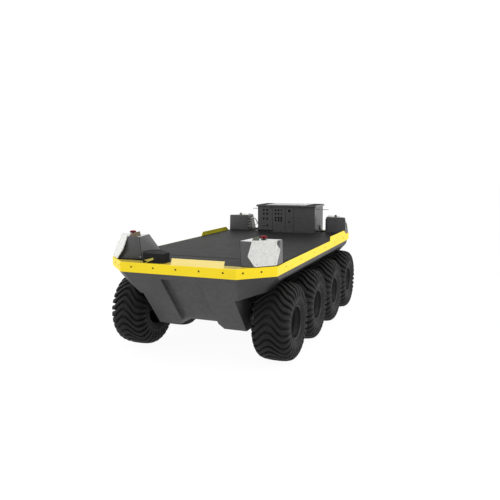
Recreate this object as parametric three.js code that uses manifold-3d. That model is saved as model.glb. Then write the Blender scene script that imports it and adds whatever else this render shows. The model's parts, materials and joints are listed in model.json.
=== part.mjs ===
// An eight-wheel skid-steer robot chassis: a moulded tub with a bolted bumper rail, a flat load deck,
// four corner pods, an electronics box with a hinged lid, and a chain-driven wheel train on each side.
//
// Millimetres, +Z up. The origin is on the ground under the middle of the chassis. The shapes are drawn
// from the middle of the unstretched rail, and the whole then moves forward by half the rear stretch.
// The front faces -Y, so the chassis's own left side is +X and its right side is -X.

import * as THREE from "three";
import { ConvexGeometry } from "three/addons/geometries/ConvexGeometry.js";
import { mergeVertices } from "three/addons/utils/BufferGeometryUtils.js";
import Module from "manifold-3d";

const wasm = await Module();
wasm.setup();

// ---- Driving dimensions -------------------------------------------------------------------------

const GAP = 0.3; // between touching pieces
const FAR = 2000; // beyond every piece
const CURVE_SEGMENTS = 10; // along each arc of a swept outline

// Wheels
const TYRE_RADIUS = 318.5; // to the corners of the faceted tread
const TYRE_SIDES = 24;
const TYRE_WIDTH = 305;
const TYRE_OUTER_FACE = 790; // outer side wall from the centre plane
const WHEEL_PITCH = 639.6;
const WHEELBASE_CENTRE = 87; // the wheel train sits slightly rearward
const RIM_RADIUS = 128.5;
const RIM_SIDES = 12;
const AXLE_RADIUS = 20;
const SPROCKET_RADIUS = 58;
const SPROCKET_PLANE = [300, 312];
const WHEELS_PER_SIDE = 4;

// Bumper rail and deck: an octagon in plan, drawn with equal halves and then made longer at the rear
const RAIL_HALF_LENGTH = 1413;
const REAR_STRETCH = 84;
const RAIL_HALF_WIDTH = 722.5;
const RAIL_STRAIGHT_HALF = 488; // half the straight front run
const RAIL_CORNER_Y = 1186; // where each chamfer meets the side
const RAIL_THICKNESS = 12;
const RAIL_BOTTOM = 735;
const DECK_TOP = 810.5;
const DECK_THICKNESS = 10;
const LOAD_AREA = { x: [-690, 690], y: [-955, 1010], raise: 1.5 }; // clear of the pods and the box
const FLANGE_THICKNESS = 6;
const FLANGE_EDGE_Y = 1295; // the deck plate ends where the rail's top flange begins

// Tub
const TUB_HALF_WIDTH = 402;
const TUB_BOTTOM = 235;
const TUB_TOP = 799.7;
const BOW_TOP_Y = -1400;
const BOW_SLOPE = 1.25; // rise over run of the bow plate
const STERN_TOP_Y = 1472;
const STERN_BOTTOM_Y = 1300;
const RECESS_HALF_WIDTH = 165;
const RECESS_DEPTH = 50;
const RECESS_TOP = 685;
const RECESS_FOOT = 330; // height where the recess's face gives way to the tunnel
const RECESS_BACK_Y = -975;
const TUNNEL_ROOF = 285;
const TUNNEL_FOOT = { halfWidth: 224, z: 200 };
const SUMP_X = 210; // the two deep floors lie outboard of the tunnel
const WALL = 10;
const ARCH_RADIUS = 345;
const AXLE_HOLE_RADIUS = 24;
// Half of the flare's underside, front to rear, as [x, y, z]
const FLARE_FRONT = [[620, -1130, 600], [705, -1100, 690]];
const FLARE_REAR = [[705, 1234, 690], [620, 1274, 600], [420, 1354, 536]];
const FLARE_NOSE = { x: 420, z: 536 };

// Corner pods
const POD_BASE = 811;
const POD_TOP = 988;
const PANEL_THICKNESS = 8;
const PANEL_FOOT = { x: 593, z: 818, setBack: 2.4 }; // the outer face's lower inner corner
const PANEL_LEAN = 0.511; // run inward for each millimetre of height

// Electronics box
const BOX = { x: [-300, 385], y: [1040, 1400], z: [811, 1103] };
const BOX_WALL = 4;
const LID_TOP = 1125;
const LID_OVERHANG = 15;

// ---- Derived dimensions -------------------------------------------------------------------------

const AXLE_HEIGHT = TYRE_RADIUS * Math.cos(Math.PI / TYRE_SIDES); // stands on a facet
const WHEEL_PLANE = TYRE_OUTER_FACE - TYRE_WIDTH / 2;
const wheelY = (row) => WHEELBASE_CENTRE + (row - (WHEELS_PER_SIDE - 1) / 2) * WHEEL_PITCH;
const bowY = (z) => BOW_TOP_Y + (RAIL_BOTTOM - z) / BOW_SLOPE;

// ---- Materials ----------------------------------------------------------------------------------

const material = (color, roughness, metalness = 0) =>
  new THREE.MeshStandardMaterial({ color, roughness, metalness });

const MATERIALS = {
  hull: () => material(0x4b4b4b, 0.6),
  deck: () => material(0x555553, 0.75),
  rail: () => material(0xf2d21b, 0.45),
  pod: () => material(0x505052, 0.55),
  panel: () => material(0xdededa, 0.5),
  red: () => material(0xa01818, 0.35),
  black: () => material(0x1c1c1c, 0.45),
  box: () => material(0x3d3d3e, 0.6),
  tyre: () => material(0x2b2b2b, 0.85),
  rim: () => material(0x1f1f20, 0.5, 0.4),
  steel: () => material(0x8b8d90, 0.35, 1),
  motor: () => material(0x3a3d42, 0.4, 0.6),
  battery: () => material(0x30343a, 0.6),
  cable: () => material(0x9a9a94, 0.6),
};

// ---- Solids -------------------------------------------------------------------------------------

function toSolid(geometry) {
  const bare = geometry.clone();
  bare.deleteAttribute("normal");
  bare.deleteAttribute("uv");
  const merged = mergeVertices(bare, 1e-3);
  return new wasm.Manifold(
    new wasm.Mesh({
      numProp: 3,
      vertProperties: merged.attributes.position.array,
      triVerts: new Uint32Array(merged.index.array),
    }),
  );
}

function toGeometry(solid) {
  const { numProp, vertProperties, triVerts } = solid.getMesh();
  const positions = new Float32Array(triVerts.length * 3);
  triVerts.forEach((vertex, i) => {
    positions.set(vertProperties.subarray(vertex * numProp, vertex * numProp + 3), i * 3);
  });
  const geometry = new THREE.BufferGeometry();
  geometry.setAttribute("position", new THREE.BufferAttribute(positions, 3));
  geometry.computeVertexNormals();
  return geometry;
}

const join = (...geometries) => toGeometry(geometries.map(toSolid).reduce((a, b) => a.add(b)));
const cut = (body, ...tools) =>
  toGeometry(tools.map(toSolid).reduce((a, b) => a.subtract(b), toSolid(body)));
const common = (a, b) => toGeometry(toSolid(a).intersect(toSolid(b)));

function extruded(outline, depth) {
  const shape =
    outline instanceof THREE.Shape
      ? outline
      : new THREE.Shape(outline.map(([u, v]) => new THREE.Vector2(u, v)));
  return new THREE.ExtrudeGeometry(shape, { depth, bevelEnabled: false, curveSegments: CURVE_SEGMENTS });
}

// An outline of (y, z) points swept from x0 to x1.
function prismX(outline, x0, x1) {
  const axes = new THREE.Matrix4().set(0, 0, 1, x0, 1, 0, 0, 0, 0, 1, 0, 0, 0, 0, 0, 1);
  return extruded(outline, x1 - x0).applyMatrix4(axes);
}

// An outline of (x, z) points swept from y0 to y1.
function prismY(outline, y0, y1) {
  return extruded(outline, y1 - y0).rotateX(Math.PI / 2).translate(0, y1, 0);
}

// An outline of (x, y) points swept from z0 to z1.
const prismZ = (outline, z0, z1) => extruded(outline, z1 - z0).translate(0, 0, z0);

function block([x0, x1], [y0, y1], [z0, z1]) {
  const geometry = new THREE.BoxGeometry(x1 - x0, y1 - y0, z1 - z0);
  return geometry.translate((x0 + x1) / 2, (y0 + y1) / 2, (z0 + z1) / 2);
}

const hull = (points) => new ConvexGeometry(points.map(([x, y, z]) => new THREE.Vector3(x, y, z)));

// A profile of (radius, x) points turned about the X axis, with a flat facet of the tread at the bottom.
function turnedX(profile, sides) {
  const points = profile.map(([radius, x]) => new THREE.Vector2(radius, x));
  return new THREE.LatheGeometry(points, sides).rotateY(Math.PI / TYRE_SIDES).rotateZ(-Math.PI / 2);
}

const mirroredX = (points) => points.map(([x, ...rest]) => [-x, ...rest]);
const bothSides = (points) => [...points, ...mirroredX(points)];

// ---- Assembly -----------------------------------------------------------------------------------

const chassis = new THREE.Group();
chassis.name = "robot_chassis";
chassis.position.y = -REAR_STRETCH / 2;

function addPart(name, geometry, makeMaterial, parent = chassis) {
  const mesh = new THREE.Mesh(geometry, makeMaterial());
  mesh.name = name;
  parent.add(mesh);
  return mesh;
}

// ---- Bumper rail --------------------------------------------------------------------------------

// The plan octagon, moved in by `inset` on every edge. Each corner is [x, y]; the rear half is stretched.
const CHAMFER = new THREE.Vector2(
  RAIL_HALF_LENGTH - RAIL_CORNER_Y,
  RAIL_HALF_WIDTH - RAIL_STRAIGHT_HALF,
).normalize();
const CHAMFER_OFFSET = CHAMFER.x * RAIL_STRAIGHT_HALF + CHAMFER.y * RAIL_HALF_LENGTH;

function octagon(inset) {
  const halfWidth = RAIL_HALF_WIDTH - inset;
  const halfLength = RAIL_HALF_LENGTH - inset;
  const straight = (CHAMFER_OFFSET - inset - CHAMFER.y * halfLength) / CHAMFER.x;
  const corner = (CHAMFER_OFFSET - inset - CHAMFER.x * halfWidth) / CHAMFER.y;
  const rear = [
    [halfWidth, corner + REAR_STRETCH], [straight, halfLength + REAR_STRETCH],
    [-straight, halfLength + REAR_STRETCH], [-halfWidth, corner + REAR_STRETCH],
  ];
  const front = [
    [-halfWidth, -corner], [-straight, -halfLength], [straight, -halfLength], [halfWidth, -corner],
  ];
  return [...rear, ...front];
}

const BOLT = { radius: 8, proud: 4, depth: 8, sides: 8, height: 779 };
const END_BOLT_PITCH = 194;
const SIDE_BOLT_PITCH = 396;
const CHAMFER_BOLTS = [0.17, 0.61]; // shares of the chamfer's length

// A bolt head lying on a vertical rail face at (x, y), facing (nx, ny).
function boltHead(x, y, nx, ny) {
  const head = new THREE.CylinderGeometry(BOLT.radius, BOLT.radius, BOLT.depth, BOLT.sides);
  const out = BOLT.proud - BOLT.depth / 2;
  head.rotateZ(Math.atan2(ny, nx) - Math.PI / 2);
  return head.translate(x + nx * out, y + ny * out, BOLT.height);
}

const stretch = (end) => (end > 0 ? REAR_STRETCH : 0);

function endBolts(end) {
  const bolts = [];
  for (let i = -2; i <= 2; i++) {
    bolts.push(boltHead(i * END_BOLT_PITCH, end * RAIL_HALF_LENGTH + stretch(end), 0, end));
  }
  for (const side of [-1, 1]) {
    for (const share of CHAMFER_BOLTS) {
      const x = THREE.MathUtils.lerp(RAIL_STRAIGHT_HALF, RAIL_HALF_WIDTH, share);
      const y = THREE.MathUtils.lerp(RAIL_HALF_LENGTH, RAIL_CORNER_Y, share);
      bolts.push(boltHead(side * x, end * y + stretch(end), side * CHAMFER.x, end * CHAMFER.y));
    }
  }
  return bolts;
}

function sideBolts(side) {
  const bolts = [];
  for (let y = -2.5 * SIDE_BOLT_PITCH; y <= 2.5 * SIDE_BOLT_PITCH; y += SIDE_BOLT_PITCH) {
    bolts.push(boltHead(side * RAIL_HALF_WIDTH, y, side, 0));
  }
  return bolts;
}

const ring = cut(
  prismZ(octagon(0), RAIL_BOTTOM, DECK_TOP),
  prismZ(octagon(RAIL_THICKNESS), RAIL_BOTTOM - 1, DECK_TOP + 1),
);

// A low guard plate that leans inward from the top of the rail. Its outline is (y, z).
const FRONT_GUARD = {
  x: [-40, 392],
  outline: [[-1413, 804], [-1406, 804], [-1386, 858], [-1392, 860]],
};
const SIDE_GUARD = { base: [410, 1140], top: [440, 1054], height: 852, lean: 5, thickness: 4 };

function endRail(end) {
  const endHalf = end < 0 ? [-FAR, -RAIL_CORNER_Y] : [RAIL_CORNER_Y + REAR_STRETCH, FAR];
  const flangeHalf =
    end < 0 ? [-FAR, -FLANGE_EDGE_Y - GAP] : [FLANGE_EDGE_Y + REAR_STRETCH + GAP, FAR];
  const band = common(ring, block([-FAR, FAR], endHalf, [0, FAR]));
  const flange = common(
    prismZ(octagon(RAIL_THICKNESS / 2), DECK_TOP - FLANGE_THICKNESS, DECK_TOP),
    block([-FAR, FAR], flangeHalf, [0, FAR]),
  );
  return [band, flange, ...endBolts(end)];
}

function sideRail(side) {
  const half = side < 0 ? [-FAR, 0] : [0, FAR];
  const length = [GAP - RAIL_CORNER_Y, RAIL_CORNER_Y + REAR_STRETCH - GAP];
  const band = common(ring, block(half, length, [0, FAR]));
  const { base, top, height, lean, thickness } = SIDE_GUARD;
  const face = RAIL_HALF_WIDTH - 0.5;
  const foot = DECK_TOP - FLANGE_THICKNESS;
  const edge = (ys, x, z) =>
    [0, thickness].flatMap((inward) => ys.map((y) => [side * (x - inward), y, z]));
  const guard = hull([...edge(base, face, foot), ...edge(top, face - lean, height)]);
  return [band, guard, ...sideBolts(side)];
}

addPart("rail_front", join(...endRail(-1), prismX(FRONT_GUARD.outline, ...FRONT_GUARD.x)), MATERIALS.rail);
addPart("rail_rear", join(...endRail(1)), MATERIALS.rail);
addPart("rail_left", join(...sideRail(1)), MATERIALS.rail);
addPart("rail_right", join(...sideRail(-1)), MATERIALS.rail);

// ---- Deck ---------------------------------------------------------------------------------------

// A flat plate with a slightly raised load area between the pods.
const deckPlate = common(
  prismZ(octagon(RAIL_THICKNESS + GAP), DECK_TOP - DECK_THICKNESS + GAP, DECK_TOP),
  block([-FAR, FAR], [-FLANGE_EDGE_Y, FLANGE_EDGE_Y + REAR_STRETCH], [0, FAR]),
);
const loadArea = block(LOAD_AREA.x, LOAD_AREA.y, [DECK_TOP - 1, DECK_TOP + LOAD_AREA.raise]);
addPart("deck_plate", join(deckPlate, loadArea), MATERIALS.deck);

// ---- Tub ----------------------------------------------------------------------------------------

function tub() {
  const lower = prismX(
    [
      [BOW_TOP_Y, TUB_TOP], [BOW_TOP_Y, RAIL_BOTTOM], [bowY(TUB_BOTTOM), TUB_BOTTOM],
      [STERN_BOTTOM_Y, TUB_BOTTOM], [STERN_TOP_Y, RAIL_BOTTOM], [STERN_TOP_Y, TUB_TOP],
    ],
    -TUB_HALF_WIDTH,
    TUB_HALF_WIDTH,
  );
  const rim = octagon(RAIL_THICKNESS + 1);
  const flare = hull([
    ...rim.map(([x, y]) => [x, y, TUB_TOP]),
    ...rim.map(([x, y]) => [x, y, RAIL_BOTTOM]),
    ...bothSides([[FLARE_NOSE.x, bowY(FLARE_NOSE.z), FLARE_NOSE.z], ...FLARE_FRONT, ...FLARE_REAR]),
  ]);

  const arch = new THREE.Shape();
  const first = wheelY(0);
  const last = wheelY(WHEELS_PER_SIDE - 1);
  arch.moveTo(first - ARCH_RADIUS, 100);
  arch.absarc(first, AXLE_HEIGHT, ARCH_RADIUS, Math.PI, Math.PI / 2, true);
  arch.absarc(last, AXLE_HEIGHT, ARCH_RADIUS, Math.PI / 2, 0, true);
  arch.lineTo(last + ARCH_RADIUS, 100);

  const recessY = (z) => bowY(z) + RECESS_DEPTH;
  const recess = prismX(
    [
      [-FAR, RECESS_TOP], [-FAR, TUNNEL_ROOF - 1], [RECESS_BACK_Y, TUNNEL_ROOF - 1],
      [recessY(RECESS_FOOT), RECESS_FOOT], [recessY(RECESS_TOP), RECESS_TOP],
    ],
    -RECESS_HALF_WIDTH,
    RECESS_HALF_WIDTH,
  );
  const tunnelSide = [[RECESS_HALF_WIDTH, TUNNEL_ROOF], [TUNNEL_FOOT.halfWidth, TUNNEL_FOOT.z]];
  const tunnel = prismY([...tunnelSide, ...mirroredX(tunnelSide).reverse()], -FAR, FAR);

  const hollow = (floor, frontGap) => [
    [bowY(TUB_TOP) + frontGap + 45, TUB_TOP + 5], [bowY(floor) + frontGap, floor],
    [STERN_BOTTOM_Y - WALL, floor], [STERN_TOP_Y - 2 * WALL, RAIL_BOTTOM],
    [STERN_TOP_Y - 2 * WALL, TUB_TOP + 5],
  ];
  const inside = TUB_HALF_WIDTH - WALL;
  const cavities = [
    prismX(hollow(TUNNEL_ROOF + WALL, RECESS_DEPTH + 1.5 * WALL), -inside, inside),
    prismX(hollow(TUB_BOTTOM + WALL, 1.5 * WALL), SUMP_X, inside),
    prismX(hollow(TUB_BOTTOM + WALL, 1.5 * WALL), -inside, -SUMP_X),
    prismZ(octagon(RAIL_THICKNESS + 16), RAIL_BOTTOM - 5, TUB_TOP + 5),
  ];

  const axleHoles = [];
  for (let row = 0; row < WHEELS_PER_SIDE; row++) {
    for (const x of [-TUB_HALF_WIDTH, TUB_HALF_WIDTH]) {
      const drill = new THREE.CylinderGeometry(AXLE_HOLE_RADIUS, AXLE_HOLE_RADIUS, 6 * WALL, RIM_SIDES);
      drill.rotateZ(Math.PI / 2);
      axleHoles.push(drill.translate(x, wheelY(row), AXLE_HEIGHT));
    }
  }

  return cut(
    join(lower, flare),
    prismX(arch, TUB_HALF_WIDTH, FAR),
    prismX(arch, -FAR, -TUB_HALF_WIDTH),
    recess,
    tunnel,
    ...cavities,
    ...axleHoles,
  );
}

addPart("hull_tub", tub(), MATERIALS.hull);

// ---- Wheel trains -------------------------------------------------------------------------------

const HALF_WIDTH = TYRE_WIDTH / 2;
const TYRE_PROFILE = [
  [129, -140], [TYRE_RADIUS - 60, -HALF_WIDTH], [TYRE_RADIUS, -105],
  [TYRE_RADIUS, 105], [TYRE_RADIUS - 60, HALF_WIDTH], [129, 140],
  [129, 127], [TYRE_RADIUS - 64, 138], [TYRE_RADIUS - 14, 95],
  [TYRE_RADIUS - 14, -95], [TYRE_RADIUS - 64, -138], [129, -127],
  [129, -140],
];
const DISC = [-17, -7]; // the rim's disc, inboard of the wheel plane
const RIM_PROFILE = [
  [40, DISC[0]], [122, DISC[0]], [122, -138], [RIM_RADIUS, -138],
  [RIM_RADIUS, 138], [122, 138], [122, DISC[1]], [40, DISC[1]],
  [40, DISC[0]],
];

// The shaft: inner end, sprocket, hub flange against the disc, pilot through the disc.
const AXLE_INNER_END = 250;
const HUB = { radius: 68, thickness: 16, pilotRadius: 36, pilotLength: 26 };
function axleProfile() {
  const hubFace = WHEEL_PLANE + DISC[0] - GAP;
  const tip = hubFace + HUB.pilotLength;
  return [
    [0, AXLE_INNER_END], [AXLE_RADIUS, AXLE_INNER_END], [AXLE_RADIUS, SPROCKET_PLANE[0]],
    [SPROCKET_RADIUS, SPROCKET_PLANE[0]], [SPROCKET_RADIUS, SPROCKET_PLANE[1]],
    [AXLE_RADIUS, SPROCKET_PLANE[1]], [AXLE_RADIUS, hubFace - HUB.thickness],
    [HUB.radius, hubFace - HUB.thickness], [HUB.radius, hubFace], [HUB.pilotRadius, hubFace],
    [HUB.pilotRadius, tip], [0, tip],
  ];
}

const BEARING = { bore: AXLE_RADIUS + 0.8, outer: 55, x: [TUB_HALF_WIDTH + GAP, TUB_HALF_WIDTH + 22] };
const BEARING_PROFILE = [
  [BEARING.bore, BEARING.x[0]], [BEARING.outer, BEARING.x[0]],
  [BEARING.outer, BEARING.x[1]], [BEARING.bore, BEARING.x[1]],
  [BEARING.bore, BEARING.x[0]],
];

// A closed chain loop around the four sprockets of one side.
function chainLoop() {
  const inner = SPROCKET_RADIUS + 0.5;
  const outline = (radius) => {
    const loop = new THREE.Shape();
    loop.absarc(wheelY(0), AXLE_HEIGHT, radius, -Math.PI / 2, Math.PI / 2, true);
    loop.absarc(wheelY(WHEELS_PER_SIDE - 1), AXLE_HEIGHT, radius, Math.PI / 2, -Math.PI / 2, true);
    return loop;
  };
  const [x0, x1] = SPROCKET_PLANE;
  return cut(prismX(outline(inner + 8), x0, x1), prismX(outline(inner), x0 - 1, x1 + 1));
}

// A vertical motor on a gearbox that holds the inner end of the second axle.
const GEARBOX = {
  x: [90, AXLE_INNER_END - GAP],
  legX: 214,
  halfWidth: 55,
  bottom: 262,
  shelf: 400,
  top: 470,
};
const MOTOR = { x: 152, radius: 62, z: [462.5, 677.5], sides: 16 };
function driveMotor() {
  const y = wheelY(1);
  const ys = [y - GEARBOX.halfWidth, y + GEARBOX.halfWidth];
  const [bottom, top] = MOTOR.z;
  const motor = new THREE.CylinderGeometry(MOTOR.radius, MOTOR.radius, top - bottom, MOTOR.sides);
  return join(
    block([GEARBOX.legX, GEARBOX.x[1]], ys, [GEARBOX.bottom, GEARBOX.top]),
    block(GEARBOX.x, ys, [GEARBOX.shelf, GEARBOX.top]),
    motor.rotateX(Math.PI / 2).translate(MOTOR.x, y, (bottom + top) / 2),
  );
}

for (const [side, mirror] of [["left", 1], ["right", -1]]) {
  const train = new THREE.Group();
  train.scale.x = mirror;
  chassis.add(train);
  for (let row = 0; row < WHEELS_PER_SIDE; row++) {
    const station = new THREE.Group();
    station.position.set(0, wheelY(row), AXLE_HEIGHT);
    train.add(station);
    const id = `${side}_${row + 1}`;
    const tyre = addPart(`tyre_${id}`, turnedX(TYRE_PROFILE, TYRE_SIDES), MATERIALS.tyre, station);
    const rim = addPart(`rim_${id}`, turnedX(RIM_PROFILE, RIM_SIDES), MATERIALS.rim, station);
    tyre.position.x = WHEEL_PLANE;
    rim.position.x = WHEEL_PLANE;
    addPart(`axle_${id}`, turnedX(axleProfile(), RIM_SIDES), MATERIALS.steel, station);
    addPart(`bearing_${id}`, turnedX(BEARING_PROFILE, RIM_SIDES), MATERIALS.steel, station);
  }
  addPart(`drive_chain_${side}`, chainLoop(), MATERIALS.steel, train);
  addPart(`drive_motor_${side}`, driveMotor(), MATERIALS.motor, train);
}

const BATTERY = { x: [-230, 230], y: [-80, 880], z: [TUNNEL_ROOF + WALL + 1, 560] };
addPart("battery_pack", block(BATTERY.x, BATTERY.y, BATTERY.z), MATERIALS.battery);

// ---- Corner pods --------------------------------------------------------------------------------
// Drawn for the corner at +X, with y counted from the middle of the unstretched rail towards that end.

const LEAN_SCALE = Math.hypot(1, PANEL_LEAN);

// A point on a housing's leaning face, which lies behind the panel, for a given x and height.
function onLean(x, z) {
  const panelFace = CHAMFER_OFFSET - PANEL_FOOT.setBack - PANEL_LEAN * (z - PANEL_FOOT.z);
  const offset = panelFace - (PANEL_THICKNESS + GAP) * LEAN_SCALE;
  return [x, (offset - CHAMFER.x * x) / CHAMFER.y, z];
}

const FRONT_POD = {
  corners: [
    onLean(712, POD_BASE), [710, 1030, POD_BASE], [370, 990, POD_BASE], [388, 992, 868],
    onLean(535, POD_TOP), onLean(706, POD_TOP), [706, 1026, POD_TOP], [459, 1030, POD_TOP],
  ],
  // The other corners of the front face, which differs between the two front pods
  face: {
    left: [[473, 1280, POD_BASE], [528, 1294, POD_BASE], onLean(586, POD_BASE), [435, 1213, POD_TOP]],
    right: [[403, 1240, POD_BASE], [529, 1261, POD_BASE], onLean(620, POD_BASE), [418, 1240, POD_TOP]],
  },
  button: { at: [579, 1090], cap: 27, height: 18, material: MATERIALS.red },
};
const REAR_POD = {
  corners: [
    [479, 1100, POD_BASE], [710, 1066, POD_BASE], onLean(712, POD_BASE), onLean(586, POD_BASE),
    [479, 1350, POD_BASE], [479, 1100, POD_TOP], onLean(704, POD_TOP), onLean(535, POD_TOP),
    [479, 1262, POD_TOP],
  ],
  face: { left: [], right: [] },
  button: { at: [585, 1120], cap: 13, height: 10, material: MATERIALS.black },
};
const BUTTON = { stem: 9, bore: 10, foot: 960, underCap: 1004, sides: 12 };

// The reflector panel's outline in its own plane: along the chamfer, then up its lean. One side is notched.
const PANEL_OUTLINE = [[0, 0], [174, 2], [227, 119], [208, 163], [219, 194], [18, 202], [-39, 82]];

function podHousing({ corners, face, button }, side) {
  const [x, y] = button.at;
  const height = 2 * (POD_TOP - BUTTON.foot + 5);
  const bore = new THREE.CylinderGeometry(BUTTON.bore, BUTTON.bore, height, BUTTON.sides);
  bore.rotateX(Math.PI / 2).translate(x, y, POD_TOP);
  return cut(hull([...corners, ...face[side]]), bore);
}

// The panel's outer face passes through its foot, a little behind the rail's chamfered face.
function podPanel() {
  const offset = CHAMFER_OFFSET - PANEL_FOOT.setBack;
  const footY = (offset - CHAMFER.x * PANEL_FOOT.x) / CHAMFER.y;
  const foot = new THREE.Vector3(PANEL_FOOT.x, footY, PANEL_FOOT.z);
  const along = new THREE.Vector3(CHAMFER.y, -CHAMFER.x, 0);
  const inward = new THREE.Vector3(-CHAMFER.x, -CHAMFER.y, -PANEL_LEAN).normalize();
  const up = new THREE.Vector3().crossVectors(inward, along);
  const frame = new THREE.Matrix4().makeBasis(along, up, inward).setPosition(foot);
  return extruded(PANEL_OUTLINE, PANEL_THICKNESS).applyMatrix4(frame);
}

// A mushroom button: a stem in the housing's bore and a cap above its top.
function podButton({ button }) {
  const profile = [
    [0, BUTTON.foot], [BUTTON.stem, BUTTON.foot], [BUTTON.stem, BUTTON.underCap],
    [button.cap, BUTTON.underCap], [button.cap, BUTTON.underCap + button.height * 0.6],
    [button.cap * 0.6, BUTTON.underCap + button.height], [0, BUTTON.underCap + button.height],
  ].map(([radius, z]) => new THREE.Vector2(radius, z));
  const [x, y] = button.at;
  return new THREE.LatheGeometry(profile, BUTTON.sides).rotateX(Math.PI / 2).translate(x, y, 0);
}

for (const [end, along, pod] of [["front", -1, FRONT_POD], ["rear", 1, REAR_POD]]) {
  for (const [side, across] of [["left", 1], ["right", -1]]) {
    const corner = new THREE.Group();
    corner.scale.set(across, along, 1);
    corner.position.y = stretch(along);
    chassis.add(corner);
    addPart(`pod_${end}_${side}`, podHousing(pod, side), MATERIALS.pod, corner);
    addPart(`panel_${end}_${side}`, podPanel(), MATERIALS.panel, corner);
    addPart(`button_${end}_${side}`, podButton(pod), pod.button.material, corner);
  }
}

const CONNECTOR_BOX = { x: [-305, -124], y: [-1375, -1278], z: [POD_BASE, 885] };
addPart("front_connector_box", block(CONNECTOR_BOX.x, CONNECTOR_BOX.y, CONNECTOR_BOX.z), MATERIALS.pod);

// ---- Electronics box and its lid ----------------------------------------------------------------

const inset = ([low, high], by) => [low + by, high - by];
addPart(
  "electronics_box",
  cut(
    block(BOX.x, BOX.y, BOX.z),
    block(inset(BOX.x, BOX_WALL), inset(BOX.y, BOX_WALL), [BOX.z[0] + BOX_WALL, BOX.z[1] + 5]),
  ),
  MATERIALS.box,
);

function boxLid() {
  const [x, y] = [inset(BOX.x, -LID_OVERHANG), [BOX.y[0] - LID_OVERHANG, BOX.y[1] + 10]];
  const corners = (xs, ys, z) => xs.flatMap((cx) => ys.map((cy) => [cx, cy, z]));
  return hull([
    ...corners(x, y, BOX.z[1] + GAP),
    ...corners(x, y, LID_TOP - 8),
    ...corners(inset(x, 10), inset(y, 10), LID_TOP),
  ]);
}
addPart("electronics_lid", boxLid(), MATERIALS.box);

// ---- Cables between the rear right pod and the electronics box -----------------------------------

// The route's ends run along X, straight out of the pod's inner face and straight into the box's side.
function cable(route, radius, steps) {
  const curve = new THREE.CatmullRomCurve3(route.map(([x, y, z]) => new THREE.Vector3(x, y, z)));
  const section = new THREE.Shape();
  section.absarc(0, 0, radius, 0, 2 * Math.PI);
  return new THREE.ExtrudeGeometry(section, { steps, extrudePath: curve, curveSegments: 4 });
}

const POD_SIDE = -478 + GAP;
const BOX_SIDE = BOX.x[0] - GAP;
const SIGNAL_ROUTE = [
  [POD_SIDE, 1205, 940], [-462, 1205, 940], [-436, 1203, 952], [-400, 1200, 950],
  [-368, 1198, 905], [-340, 1196, 868], [-316, 1195, 868], [BOX_SIDE, 1195, 868],
];
const POWER_ROUTE = [
  [POD_SIDE, 1170, 850], [-462, 1170, 850], [-432, 1165, 838], [-390, 1155, 828],
  [-345, 1148, 838], [-316, 1147, 850], [BOX_SIDE, 1147, 850],
];
addPart("pod_signal_cable", cable(SIGNAL_ROUTE, 7, 22), MATERIALS.cable);
addPart("pod_power_cable", cable(POWER_ROUTE, 10, 18), MATERIALS.black);

export default chassis;
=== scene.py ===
import json
import random
from math import cos, hypot, pi, radians, sin

import bmesh
import bpy
from mathutils import Matrix, Vector
from mathutils.bvhtree import BVHTree


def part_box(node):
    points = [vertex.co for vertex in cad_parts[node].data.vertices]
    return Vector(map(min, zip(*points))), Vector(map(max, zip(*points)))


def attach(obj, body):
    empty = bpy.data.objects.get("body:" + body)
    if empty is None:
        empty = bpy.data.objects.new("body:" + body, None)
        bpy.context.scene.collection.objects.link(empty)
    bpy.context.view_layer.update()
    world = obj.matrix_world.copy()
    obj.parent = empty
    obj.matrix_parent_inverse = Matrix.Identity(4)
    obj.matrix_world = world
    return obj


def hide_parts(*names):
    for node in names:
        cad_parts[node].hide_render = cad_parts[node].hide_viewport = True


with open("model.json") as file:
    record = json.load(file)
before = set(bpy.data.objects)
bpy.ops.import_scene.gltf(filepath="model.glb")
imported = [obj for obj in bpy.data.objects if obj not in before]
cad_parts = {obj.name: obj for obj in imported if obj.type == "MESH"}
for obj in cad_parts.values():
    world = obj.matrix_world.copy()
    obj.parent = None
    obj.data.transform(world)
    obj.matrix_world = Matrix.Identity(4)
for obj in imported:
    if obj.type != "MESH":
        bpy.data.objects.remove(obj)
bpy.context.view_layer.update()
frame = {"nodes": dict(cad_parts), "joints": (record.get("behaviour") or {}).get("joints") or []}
NODES = frame["nodes"]

# ---- Driving dimensions, in metres ----

SIDES = (("left", 1), ("right", -1))
ENDS = (("front", -1), ("rear", 1))
WHEEL_ROWS = (1, 2, 3, 4)

LUGS = 32  # cross lugs round a tyre
LUG_SWEEP = 0.3  # radians from the chevron's peak to the shoulder
LUG_REACH = 0.128  # from the tread's centre line to where the chevron levels out
SHOULDER_CUT = 5.2  # how far the grooves draw the shoulder in, for each metre of lug height
RIM_HOLE = 0.04
STUD_CIRCLE = 0.0575
STUDS = 5

REST_POSE_TOLERANCE = 1e-5
SHARP_ANGLE = radians(32)

SIDE_BAR_DROP = 0.0025  # the side bars lie this far below the deck
LID_MAT = (0.005, 0.118)  # the mats let into the lid, measured from its ends
RAIL_OUT = 0.013  # from the hull's skin to the rail's outer face
STRAIGHT_HALF = 0.488  # half the straight run at each end of the rail
RAIL_TOP = 0.8105
RAIL_THICKNESS = 0.012
FLANGE_THICKNESS = 0.006
FLANGE_EDGE = 1.3373  # where the top flange at each end meets the deck
FRONT_GUARD_X = (-0.04, 0.392)
FRONT_GUARD_OUTLINE = ((-1.455, 0.804), (-1.448, 0.804), (-1.428, 0.858), (-1.434, 0.86))  # y, z
SIDE_GUARD_FOOT = (0.368, 1.098)
SIDE_GUARD_HEAD = (0.398, 1.012)
BOLT_HEIGHT = 0.779
BOLT_PROUD = 0.004
END_BOLT_PITCH = 0.194
CHAMFER_BOLTS = (0.17, 0.61)
SIDE_BOLT_START = 0.196
SIDE_BOLT_PITCH = 0.396

LOAD_AREA_X = (-0.69, 0.69)
LOAD_AREA_Y = (-0.997, 0.968)

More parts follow.
